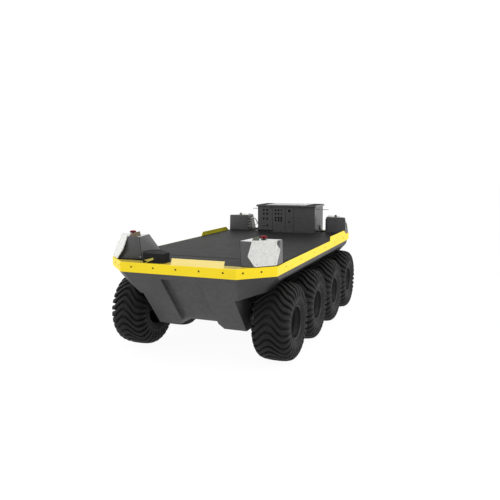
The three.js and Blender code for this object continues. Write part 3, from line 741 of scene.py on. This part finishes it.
def make_rail():
    for name, sign in ENDS:
        make_end_rail(name, sign)
    for name, across in SIDES:
        make_side_rail(name, across)
    # The front guard, in the paler yellow of its painted highlight.
    points = [(x, y, z) for x in FRONT_GUARD_X for y, z in FRONT_GUARD_OUTLINE]
    piece("rail_front_guard", convex(bmesh.new(), points, 0.0008), GUARD_HIGHLIT)
    for node in ("rail_front", "rail_rear", "rail_left", "rail_right"):
        # Bolts on the -X faces and on the +X side get the pale painted highlight; the rest stay dark.
        for name, material, in_highlight in (("bolts", BOLTS, False), ("bolts_painted_highlight", LIT_BOLTS, True)):
            bolts = bmesh.new()
            for owner, point, normal in bolt_rows():
                if owner == node and (normal[0] < -0.3 or normal[0] > 0.9) is in_highlight:
                    bolt(bolts, point, normal, 0.0068, BOLT_PROUD)
            if bolts.verts:
                piece(f"{node}_{name}", bolts, material)


# ---- Deck ----


def make_deck():
    """The plate with its raised load area, and the countersunk screws that hold it down."""
    low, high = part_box("deck_plate")
    side = high.x - 0.0002
    inset = RAIL_X - side
    corner = (CHAMFER_REACH - inset - CHAMFER.x * side) / CHAMFER.y
    outline = [(x, y) for x in (-side, side) for y in (-corner, corner)]
    outline += [(across * chamfer_x(high.y, inset), y) for across in (-1, 1) for y in (low.y, high.y)]
    bm = prism(bmesh.new(), outline, low.z, RAIL_TOP, 0.0012)
    (x0, x1), (y0, y1) = LOAD_AREA_X, LOAD_AREA_Y
    slab(bm, (x0, y0, RAIL_TOP - 0.001), (x1, y1, high.z), 0.0006)
    piece("deck_sheet", bm, DECK, ["deck_plate"])
    screws = bmesh.new()
    for x in (0.045 - high.x, high.x - 0.045):
        for i in range(9):
            bolt(screws, (x, -0.9 + i * 0.225, high.z - 0.0001), (0, 0, 1), 0.005, 0.0005)
    piece("deck_screws", screws, BOLTS)


# ---- Corner pods ----


def make_pod_body(node, button, bevel, collar):
    """A pod's rounded housing, the plate on its top, pale as a painted reflection of the bright sky, and the
    collar round the bore of its button.
    """
    axis, top = middle(button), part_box(node)[1].z
    upright = Matrix.Translation((axis.x, axis.y, 0))
    points = [v.co.copy() for v in NODES[node].data.vertices]
    corners = [p for p in points if hypot(p.x - axis.x, p.y - axis.y) > CAD_BORE_REACH]
    bore = rod(bmesh.new(), BUTTON_BORE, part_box(button)[0].z - 0.005, top + 0.01, 32, upright)
    housing = carved(convex(bmesh.new(), corners, bevel, 20, False), bore)
    piece(f"{node}_housing", housing, POD, [node])

    outline = [p.xy for p in corners if abs(p.z - top) < REST_POSE_TOLERANCE]
    centre = sum(outline, Vector((0, 0))) / len(outline)
    outline = [centre + (p - centre) * 0.955 for p in outline]
    plate = prism(bmesh.new(), outline, top - 0.0005, top + 0.0018, 0.0006)
    hole = rod(bmesh.new(), BUTTON_BORE + 0.0015, top - 0.01, top + 0.01, 32, upright)
    piece(f"{node}_cover", carved(plate, hole), TOP_PLATE_REFLECTION)

    inner = BUTTON_BORE + 0.0002
    profile = [(inner, top), (collar, top), (collar, COLLAR_TOP - 0.002), (collar - 0.002, COLLAR_TOP)]
    ring = turned(bmesh.new(), [*profile, (inner, COLLAR_TOP)], 32, upright, closed=True)
    piece(f"{node}_collar", ring, BLACK)


def make_front_pod(side, across):
    node = f"pod_front_{side}"
    make_pod_body(node, f"button_front_{side}", 0.003, 0.022)
    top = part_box(node)[1].z

    seams = bmesh.new()
    for line in POD_SEAMS[side]:
        foot, head = (Vector((across * x, y, z)) for x, y, z in line)
        inward = Vector((across * 0.001, 0.001, 0))
        rod(seams, 0.0016, 0.002, (head - foot).length - 0.002, 10, facing(foot + inward, head - foot))
    piece(f"{node}_seams", seams, DARK)

    if side == "right":
        x, y, z = POD_SEAMS[side][0][0]
        # The screw head's near-white colour is a painted highlight.
        spot, normal = (across * (x + 0.014), y - 0.001, z + 0.018), (-across * 0.16, -0.96, 0.17)
        piece(f"{node}_screws", bolt(bmesh.new(), spot, normal, 0.0052, 0.0016), LENS)

    corners = [Vector((across * x, y)) for x, y in POD_BLOCK[side]]
    centre = sum(corners, Vector((0, 0))) / len(corners)
    points = [(*corner, top + 0.0015) for corner in corners]
    points += [(*centre.lerp(corner, POD_BLOCK_TAPER), z) for corner, z in zip(corners, POD_BLOCK_TOP[side])]
    piece(f"{node}_block", convex(bmesh.new(), points, 0.002), BLOCK[side])


def make_rear_pod(side, across):
    node = f"pod_rear_{side}"
    make_pod_body(node, f"button_rear_{side}", 0.002, 0.0155)
    low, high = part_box(node)

    (x0, y0), (x1, y1) = REAR_BLOCK
    outline = [(across * x, y) for x in (x0, x1) for y in (y0, y1)]
    piece(f"{node}_block", prism(bmesh.new(), outline, high.z + 0.0015, high.z + 0.019, 0.003), LENS)

    inner = low.x if across > 0 else high.x
    face = inner - across * 0.0016
    start, end = (inner + across * 0.001, low.y + 0.012, low.z + 0.012), (face, low.y + 0.15, low.z + 0.16)
    piece(f"{node}_plate", slab(bmesh.new(), start, end, 0.0006), CONNECTOR_PLATE)
    sockets = bmesh.new()
    for y, z, size in SOCKETS:
        profile = [(0, 0), (size, 0), (size, 0.005), (size * 0.78, 0.008), (size * 0.6, 0.008)]
        profile += [(size * 0.6, 0.002), (0, 0.002)]
        turned(sockets, profile, 20, facing((face, low.y + y, low.z + z), (-across, 0, 0)))
    piece(f"{node}_sockets", sockets, BLACK)


def make_button(node, material):
    """A mushroom head on its stem."""
    low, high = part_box(node)
    axis = middle(node)
    cap, height = (high.x - low.x) / 2, high.z - BUTTON_UNDER_CAP
    profile = [(0, low.z), (0.009, low.z), (0.009, BUTTON_UNDER_CAP)]
    profile += [(cap * share, BUTTON_UNDER_CAP + height * rise) for share, rise in BUTTON_PROFILE]
    head = turned(bmesh.new(), [*profile, (0, high.z)], 40, Matrix.Translation((axis.x, axis.y, 0)))
    piece(f"{node}_head", head, material, [node], node.replace("button_", "") + "_button")


def make_panel(node):
    """The reflector: a plate with a thin raised edge, cells drawn in its own plane, and corner rivets."""
    bm = node_mesh(node)
    outer = max(bm.faces, key=lambda f: f.calc_area() * (1 if f.normal.z > 0 else 0.01))
    normal = outer.normal.copy()
    spots = [v.co.copy() for v in outer.verts]
    centre = sum(spots, Vector()) / len(spots)
    bmesh.ops.inset_region(bm, faces=[outer], thickness=0.005, depth=-0.0012, use_even_offset=True)
    rounded(bm, 0.0006, 1, 30)
    aside = normal.cross(Vector((0, 0, 1))).normalized()
    upward = aside.cross(normal)
    flat = bm.loops.layers.uv.new("UVMap")
    for face in bm.faces:
        for loop in face.loops:
            loop[flat].uv = (loop.vert.co.dot(aside), loop.vert.co.dot(upward))
    piece(f"{node}_sheet", bm, PANEL, [node])
    rivets = bmesh.new()
    for spot in spots:
        bolt(rivets, spot.lerp(centre, 0.16) - normal * 0.001, normal, 0.0042, 0.0016)
    piece(f"{node}_rivets", rivets, ZINC)


def make_pods():
    for side, across in SIDES:
        make_front_pod(side, across)
        make_rear_pod(side, across)
        make_button(f"button_front_{side}", RED)
        make_button(f"button_rear_{side}", BLACK)
        for end, _ in ENDS:
            make_panel(f"panel_{end}_{side}")


# ---- Front connector box and the yellow tab beside it ----


def make_connector_box():
    node = "front_connector_box"
    low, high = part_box(node)
    piece(f"{node}_case", slab(bmesh.new(), low, high, 0.002), DARK_BOX, [node])
    sockets = bmesh.new()
    profile = [(0, 0), (0.01, 0), (0.01, 0.002), (0.008, 0.003), (0.006, 0.003), (0.006, 0.001), (0, 0.001)]
    for x in (0.045, 0.09, 0.135):
        turned(sockets, profile, 24, facing((low.x + x, low.y, (low.z + high.z) / 2), (0, -1, 0)))
    piece(f"{node}_sockets", sockets, DARK_BOX)
    duct = prism(bmesh.new(), DUCT_OUTLINE, high.z - 0.02, high.z - 0.0006, 0.001)
    piece(f"{node}_duct", duct, DARK_BOX)
    tab = bmesh.new()
    for outline in TAB_OUTLINES:
        convex(tab, [(x, y, z) for y in (low.y - 0.007, low.y - 0.003) for x, z in outline], 0.0006)
    # The tab, its yellow in painted shade.
    piece("rail_front_tab", tab, TAB_SHADED)


# ---- Electronics box ----


def make_box():
    node = "electronics_box"
    low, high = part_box(node)

    def upright(edge):
        a, b = (v.co for v in edge.verts)
        off = max(min(abs(a.x - low.x), abs(a.x - high.x)), min(abs(a.y - low.y), abs(a.y - high.y)))
        return abs(a.z - b.z) > 0.1 and off < 1e-4

    # The backs set into the vent holes and panel gaps are painted shade of the box's dark inside.
    tools, backs = bmesh.new(), bmesh.new()
    for x, z, size in VENTS:
        rod(tools, size, -0.003, 0.02, 20, facing((low.x + x, low.y - 0.001, low.z + z), (0, 1, 0)))
        rod(backs, size * 1.2, 0, 0.001, 20, facing((low.x + x, low.y + 0.0045, low.z + z), (0, 1, 0)))
    foot, top, front = low.z + 0.012, high.z - 0.01, (low.y - 0.01, low.y + 0.0018)
    for x in (low.x + seam for seam in BOX_SEAMS):
        slab(tools, (x - 0.002, front[0], foot), (x + 0.002, front[1], top))
        slab(backs, (x - 0.0019, low.y + 0.0006, foot + 0.001), (x + 0.0019, low.y + 0.0017, top - 0.001))
    for z in (foot, high.z - 0.012):
        slab(tools, (low.x + BOX_SEAMS[-1], front[0], z - 0.002), (high.x - 0.012, front[1], z + 0.002))
    case = carved(rounded(node_mesh(node), 0.003, 2, 30, upright), tools)
    piece(f"{node}_case", case, BOX, [node])
    piece(f"{node}_vent_shade_backs", backs, DARK)
    make_box_fittings(low, high)


def make_box_fittings(low, high):
    rods, brackets = bmesh.new(), bmesh.new()
    rod_end = [(0, 0), (0.0035, 0), (0.0035, 0.118), (0.0022, 0.12), (0, 0.12)]
    for across, x in ((-1, low.x), (1, high.x)):
        turned(rods, rod_end, 12, facing((x, low.y + 0.15, high.z - 0.032), (across, 0, 0)))
        for y in (low.y + 0.05, high.y - 0.09):
            slab(brackets, (x, y, low.z), (x + across * 0.004, y + 0.04, low.z + 0.034), 0.001)
            slab(brackets, (x, y, low.z), (x + across * 0.04, y + 0.04, low.z + 0.004), 0.001)
            bolt(brackets, (x + across * 0.026, y + 0.02, low.z + 0.004), (0, 0, 1), 0.007, 0.005)
    start, end = (high.x + 0.012, low.y + 0.215, low.z + 0.001), (0.476, low.y + 0.245, low.z + 0.015)
    slab(brackets, start, end, 0.002)
    piece("box_rods", rods, ROD)
    piece("box_brackets", brackets, BLACK)

    glands = bmesh.new()
    plug = [(0, 0), (0.013, 0), (0.013, 0.012), (0.0105, 0.014), (0.0105, 0.03), (0.008, 0.034), (0, 0.034)]
    for x in PLUGS:
        turned(glands, plug, 18, facing((low.x + x, low.y, low.z + 0.022), (0, -1, 0)))
    gland = [(0, 0), (0.012, 0), (0.012, 0.008), (0.009, 0.012), (0, 0.012)]
    for z in (0.034, 0.06):
        turned(glands, gland, 20, facing((high.x, low.y + 0.22, low.z + z), (1, 0, 0)))
    piece("box_glands", glands, BLACK)

    lens = [(0, 0), (0.0085, 0), (0.0085, 0.003), (0.005, 0.006), (0, 0.007)]
    lamp = turned(bmesh.new(), lens, 20, facing((low.x + 0.075, low.y + 0.004, low.z + 0.075), (0, -1, 0)))
    piece("box_lamp", lamp, LAMP)

    foot = low.z + 0.0075
    start, end = (low.x + 0.016, low.y + 0.016, foot - 0.003), (high.x - 0.016, high.y - 0.016, foot)
    tray = slab(bmesh.new(), start, end, 0.0008)
    spacer = [(0, 0), (0.006, 0), (0.006, 0.009), (0.003, 0.009), (0.003, 0.003), (0, 0.003)]
    for x in (0.05, 0.2, 0.35, 0.5, 0.635):
        for y in (0.04, 0.32):
            turned(tray, spacer, 6, Matrix.Translation((low.x + x, low.y + y, foot)))
    piece("box_tray", tray, ZINC)


def make_lid():
    node = "electronics_lid"
    low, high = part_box(node)
    _, y, z = next(j for j in frame["joints"] if j["name"] == "lid_hinge")["pos_m"]
    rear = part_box("electronics_box")[1].y
    centre = (low.x + high.x) / 2
    tools, mats, leaves, knuckles, catches = (bmesh.new() for _ in range(5))
    for x in (centre + spot for spot in HINGE_SPOTS):
        slab(tools, (x - 0.033, y - 0.0052, low.z - 0.01), (x + 0.033, high.y + 0.01, z + 0.0062))
        slab(leaves, (x - 0.03, rear, z - 0.045), (x + 0.03, rear + 0.002, z - 0.004), 0.0005)
        rod(leaves, 0.0042, 0, 0.019, 18, facing((x - 0.0095, y, z), (1, 0, 0)))
        for start in (x - 0.03, x + 0.011):
            rod(knuckles, 0.0042, 0, 0.019, 18, facing((start, y, z), (1, 0, 0)))
            slab(knuckles, (start, y - 0.001, z + 0.002), (start + 0.019, y + 0.003, z + 0.008))
        for spot in (x - 0.02, x + 0.02):
            bolt(leaves, (spot, rear + 0.002, z - 0.03), (0, 1, 0), 0.0042, 0.0015)
    y0, y1, bed = low.y + 0.005, high.y - 0.02, high.z - 0.0012
    for x0, x1 in ((low.x + LID_MAT[0], low.x + LID_MAT[1]), (high.x - LID_MAT[1], high.x - LID_MAT[0])):
        slab(tools, (x0, y0, bed), (x1, y1, high.z + 0.01))
        slab(mats, (x0 + 0.0005, y0 + 0.0005, bed), (x1 - 0.0005, y1 - 0.0005, bed + 0.001))
    for x in (centre + spot for spot in CATCH_SPOTS):
        slab(catches, (x - 0.014, low.y - 0.003, low.z - 0.012), (x + 0.014, low.y, low.z + 0.012), 0.001)
    cover = carved(rounded(node_mesh(node), 0.0025, 2, 15), tools)
    piece(f"{node}_cover", cover, LID, [node], "lid")
    piece("lid_mats", mats, DARK_BOX, body="lid")
    piece("lid_hinge_leaves", leaves, ZINC)
    piece("lid_hinge_knuckles", knuckles, ZINC, body="lid")
    piece("lid_catches", catches, BLACK, body="lid")


# ---- Cables ----


def cable(name, route, radius, material, replaces=()):
    """A round cable along a smooth line through the route's points."""
    points = smooth_line([Vector(p) for p in route], 8)
    rings = []
    across = Vector((0, 0, 1))
    for i, point in enumerate(points):
        way = (points[min(i + 1, len(points) - 1)] - points[max(i - 1, 0)]).normalized()
        across = (across - way * across.dot(way)).normalized()
        other = way.cross(across)
        turns = [polar(radius, 2 * pi * k / 20) for k in range(20)]
        rings.append([point + across * u + other * v for u, v in turns])
    piece(name, swept(bmesh.new(), rings), material, replaces)


def smooth_line(points, steps):
    """Points on the Catmull-Rom line through the given ones."""
    padded = [points[0] * 2 - points[1], *points, points[-1] * 2 - points[-2]]
    line = []
    for a, b, c, d in zip(padded, padded[1:], padded[2:], padded[3:]):
        for i in range(steps):
            t = i / steps
            bend, twist = 2 * a - 5 * b + 4 * c - d, 3 * b - a - 3 * c + d
            line.append(0.5 * (2 * b + (c - a) * t + bend * t * t + twist * t**3))
    return [*line, points[-1]]


def make_cables():
    cable("signal_lead", SIGNAL_ROUTE, 0.0068, JACKET_LIGHT, ["pod_signal_cable"])
    cable("power_lead", POWER_ROUTE, 0.0098, JACKET_DARK, ["pod_power_cable"])
    cable("antenna_lead", ANTENNA_ROUTE, 0.0035, JACKET_LIGHT)
    glands = bmesh.new()
    for route, size, sides in ((SIGNAL_ROUTE, 0.0125, 16), (POWER_ROUTE, 0.0155, 6)):
        profile = [(0, 0), (size, 0), (size, 0.006), (size * 0.86, 0.008), (size * 0.86, 0.014)]
        for point, way in ((route[0], 1), (route[-1], -1)):
            turned(glands, [*profile, (size * 0.7, 0.018), (0, 0.018)], sides, facing(point, (way, 0, 0)))
    piece("cable_glands", glands, BLACK)


# ---- Wheels ----


def tyre_mesh(radius, phase):
    """A tyre with chevron cross lugs that run down over the shoulders, about X and centred at the origin."""
    lower = TREAD_ROWS[0][1] - radius
    half = [(x, r - lower, lug) for x, r, lug in TREAD_ROWS] + [(x, r, 0.0) for x, r in WALL_ROWS]
    rows = [(-x, r, lug) for x, r, lug in half[:0:-1]] + half + [(x, r, 0.0) for x, r in BORE_ROWS]
    bm = bmesh.new()
    rings = []
    for x, crest, lug in rows:
        share = min(abs(x) / LUG_REACH, 1)
        sweep = LUG_SWEEP * (0.5 + 0.5 * cos(pi * share))
        ring = []
        for i in range(LUGS):
            for step, height in LUG_STEPS:
                depth = lug * (1 - height)
                z, y = polar(crest - depth, 2 * pi * (i + step + phase) / LUGS + sweep)
                ring.append(bm.verts.new((x * (1 - SHOULDER_CUT * depth * share**3), -z, y)))
        rings.append(ring)
    for near, far in zip(rings, rings[1:] + rings[:1]):
        skinned(bm, near, far)
    return baked("tyre", bm, RUBBER, radians(34))


def rim_mesh():
    """A drop-centre rim with its disc, wheel nuts and valve, about Z, with its outer side towards +Z."""
    outer = [
        (0.1352, 0.1378), (0.1372, 0.1352), (0.1362, 0.1325), (0.1284, 0.1296), (0.1272, 0.11),
        (0.1215, 0.098), (0.114, 0.08), (0.114, 0.03),
    ]
    barrel = [(0.1325, 0.1368), (0.1252, 0.1296), (0.124, 0.11), (0.1182, 0.098), (0.1108, 0.08)]
    disc = [
        (0.1108, 0.012), (0.104, 0.0), (0.086, 0.004), (0.078, -0.0045), (0.07, -0.0068),
        (RIM_HOLE, -0.0068),
    ]
    back = [(0.1108, -0.012), (0.1, -0.012), (0.084, -0.009), (0.076, -0.0168), (RIM_HOLE, -0.0168)]
    far = [(r, -z) for r, z in barrel]
    bm = turned(
        bmesh.new(),
        [*reversed(disc), *reversed(barrel), *outer, *((r, -z) for r, z in reversed(outer)), *far, *back],
        72, closed=True,
    )
    for i in range(STUDS):
        hex_nut(bm, (*polar(STUD_CIRCLE, 2 * pi * i / STUDS + 0.3), -0.0068), 0.0125, 0.014)
    valve = [(0, 0), (0.004, 0), (0.004, 0.02), (0.0028, 0.022), (0.0028, 0.03), (0, 0.031)]
    turned(bm, valve, 12, facing((0.104, 0.02, 0), (-0.35, 0, 0.94)))
    return baked("rim", bm, RIM)


def axle_mesh(low_x, high_x, hub):
    """The shaft from gear case to hub with its sprocket and flange, along Z from the centre plane."""
    shaft = 0.02
    near, far = SPROCKET
    profile = [
        (0, low_x), (shaft - 0.002, low_x), (shaft, low_x + 0.002), (shaft, near - 0.012),
        (0.034, near - 0.012), (0.034, near), (0.048, near + 0.0005), (0.048, far - 0.0005), (0.034, far),
        (0.034, far + 0.01),
        (shaft, far + 0.012), (shaft, hub - 0.04), (0.028, hub - 0.034), (0.032, hub - 0.016),
        (0.066, hub - 0.015), (0.068, hub - 0.013), (0.068, hub - 0.0005), (0.0358, hub),
        (0.0358, high_x - 0.006), (0.031, high_x - 0.001), (0.014, high_x), (0.012, high_x - 0.004),
        (0, high_x - 0.004),
    ]
    bm = turned(bmesh.new(), profile, 48)
    pitch = 2 * pi / SPROCKET_TEETH
    teeth = [polar(radius, (i + step) * pitch) for i in range(SPROCKET_TEETH) for step, radius in TOOTH]
    swept(bm, [[(*point, z) for point in teeth] for z in (near + 0.003, far - 0.003)])
    return baked("axle", bm, STEEL)


def bearing_mesh(near, far):
    """A round flange bearing with its nuts, along Z from the centre plane."""
    bore = 0.0208
    profile = [
        (bore, near), (0.055, near), (0.055, near + 0.009), (0.0535, near + 0.0105), (0.038, near + 0.012),
        (0.036, far - 0.002), (0.034, far), (0.027, far), (0.026, far - 0.003), (0.0235, far - 0.003),
        (0.0225, far), (bore, far),
    ]
    bm = turned(bmesh.new(), profile, 48, closed=True)
    for i in range(4):
        hex_nut(bm, (*polar(0.0455, pi * (i / 2 + 0.25)), near + 0.0112), 0.0065, 0.006)
    return baked("bearing", bm, STEEL)


def make_wheels():
    low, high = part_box("tyre_left_1")
    phases = random.Random(4)
    tyres = [tyre_mesh((high.z - low.z) / 2, phases.random()) for _ in WHEEL_ROWS]
    rim = rim_mesh()
    low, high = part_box("axle_left_1")
    axle = axle_mesh(low.x, high.x, middle("rim_left_1").x - 0.017 - 0.0003)
    low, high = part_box("bearing_left_1")
    bearing = bearing_mesh(low.x, high.x)
    for side, across in SIDES:
        outward = facing((0, 0, 0), (across, 0, 0))
        for row, tyre in zip(WHEEL_ROWS, tyres):
            wheel, at = f"wheel_{side}_{row}", f"{side}_{row}"
            centre = middle(f"tyre_{at}")
            hub = Matrix.Translation(centre)
            line = Matrix.Translation((0, centre.y, centre.z)) @ outward
            placed(f"tyre_{at}_tread", tyre, wheel, [f"tyre_{at}"], hub)
            placed(f"rim_{at}_wheel", rim, wheel, [f"rim_{at}"], hub @ outward)
            placed(f"axle_{at}_shaft", axle, wheel, [f"axle_{at}"], line)
            placed(f"bearing_{at}_unit", bearing, "root", [f"bearing_{at}"], line)


# ---- Drive inside the hull ----


def chain_mesh(first, last, radius, half_width):
    """A roller chain round the sprockets of one side, in the YZ plane, centred on x = 0."""
    straight = last - first
    length = 2 * straight + 2 * pi * radius

    def at(distance):
        """The point on the pitch line, from above the first axle over to the last one and back below."""
        below, along = divmod(distance % length, length / 2)
        turn = max(along - straight, 0) / radius
        point = Vector((0, first + min(along, straight) + radius * sin(turn), radius * cos(turn)))
        return Vector((0, first + last, 0)) - point if below else point

    bm = bmesh.new()
    stops = [at(i * length / CHAIN_LINKS) for i in range(CHAIN_LINKS + 1)]
    pin, end = half_width - 0.0034, half_width
    pin_profile = [(0, -end), (0.0022, -end), (0.0022, -pin), (0.0036, -pin), (0.0036, pin), (0.0022, pin)]
    for i, (a, b) in enumerate(zip(stops, stops[1:])):
        way = (b - a).normalized()
        over = Vector((0, -way.z, way.y))
        outline = []
        for centre, start in ((a, 1), (b, -1)):
            for k in range(5):
                along, aside = polar(0.0039, pi * (k / 4 - 0.5))
                outline.append(centre - way * start * along - over * start * aside)
        outer = half_width - (0 if i % 2 else 0.0018)
        for side in (-1, 1):
            swept(bm, [[p + Vector((side * x, 0, 0)) for p in outline] for x in (outer, outer - 0.0014)])
        turned(bm, [*pin_profile, (0.0022, end), (0, end)], 8, facing(a, (1, 0, 0)))
    return baked("chain", bm, CHAIN)


def make_drive():
    low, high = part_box("drive_chain_left")
    centre = (low + high) / 2
    first, last = middle("axle_left_1").y, middle("axle_left_4").y
    chain = chain_mesh(first, last, (high.z - low.z) / 2 - 0.004, (high.x - low.x) / 2)
    for side, across in SIDES:
        place, node = Matrix.Translation((across * centre.x, 0, centre.z)), f"drive_chain_{side}"
        placed(f"{node}_links", chain, "root", [node], place)
        motor = NODES[f"drive_motor_{side}"]
        motor.data.materials.clear()
        motor.data.materials.append(MOTOR)
        soften_node(motor, 0.003)
    make_battery()


def soften_node(obj, width):
    """Rounds a CAD node's edges without touching its own mesh."""
    weld, flat, bevel = (obj.modifiers.new(kind.lower(), kind) for kind in ("WELD", "DECIMATE", "BEVEL"))
    settled(weld, merge_threshold=REST_POSE_TOLERANCE)
    settled(flat, decimate_type="DISSOLVE", angle_limit=radians(1))
    settled(bevel, width=width, segments=2, limit_method="ANGLE", angle_limit=radians(30))


def make_battery():
    low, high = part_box("battery_pack")
    lip, top = high.z - 0.046, high.z - 0.018
    bm = slab(bmesh.new(), low, (high.x, high.y, lip), 0.006)
    slab(bm, (low.x + 0.004, low.y + 0.004, lip), (high.x - 0.004, high.y - 0.004, top), 0.005)
    for i in range(11):
        y = low.y + 0.06 + i * (high.y - low.y - 0.12) / 10
        for x in (low.x, high.x):
            slab(bm, (x - 0.0012, y - 0.012, low.z + 0.03), (x + 0.0012, y + 0.012, high.z - 0.07), 0.0008)
    terminal = [(0, 0), (0.014, 0), (0.014, 0.012), (0.008, 0.013), (0.008, 0.018), (0, 0.018)]
    for y in (low.y + 0.08, high.y - 0.08):
        for x in (low.x + 0.09, high.x - 0.09):
            turned(bm, terminal, 24, Matrix.Translation((x, y, top)))
    piece("battery_case", bm, BATTERY, ["battery_pack"])


make_hull()
make_rail()
make_deck()
make_pods()
make_connector_box()
make_box()
make_lid()
make_cables()
make_wheels()
make_drive()
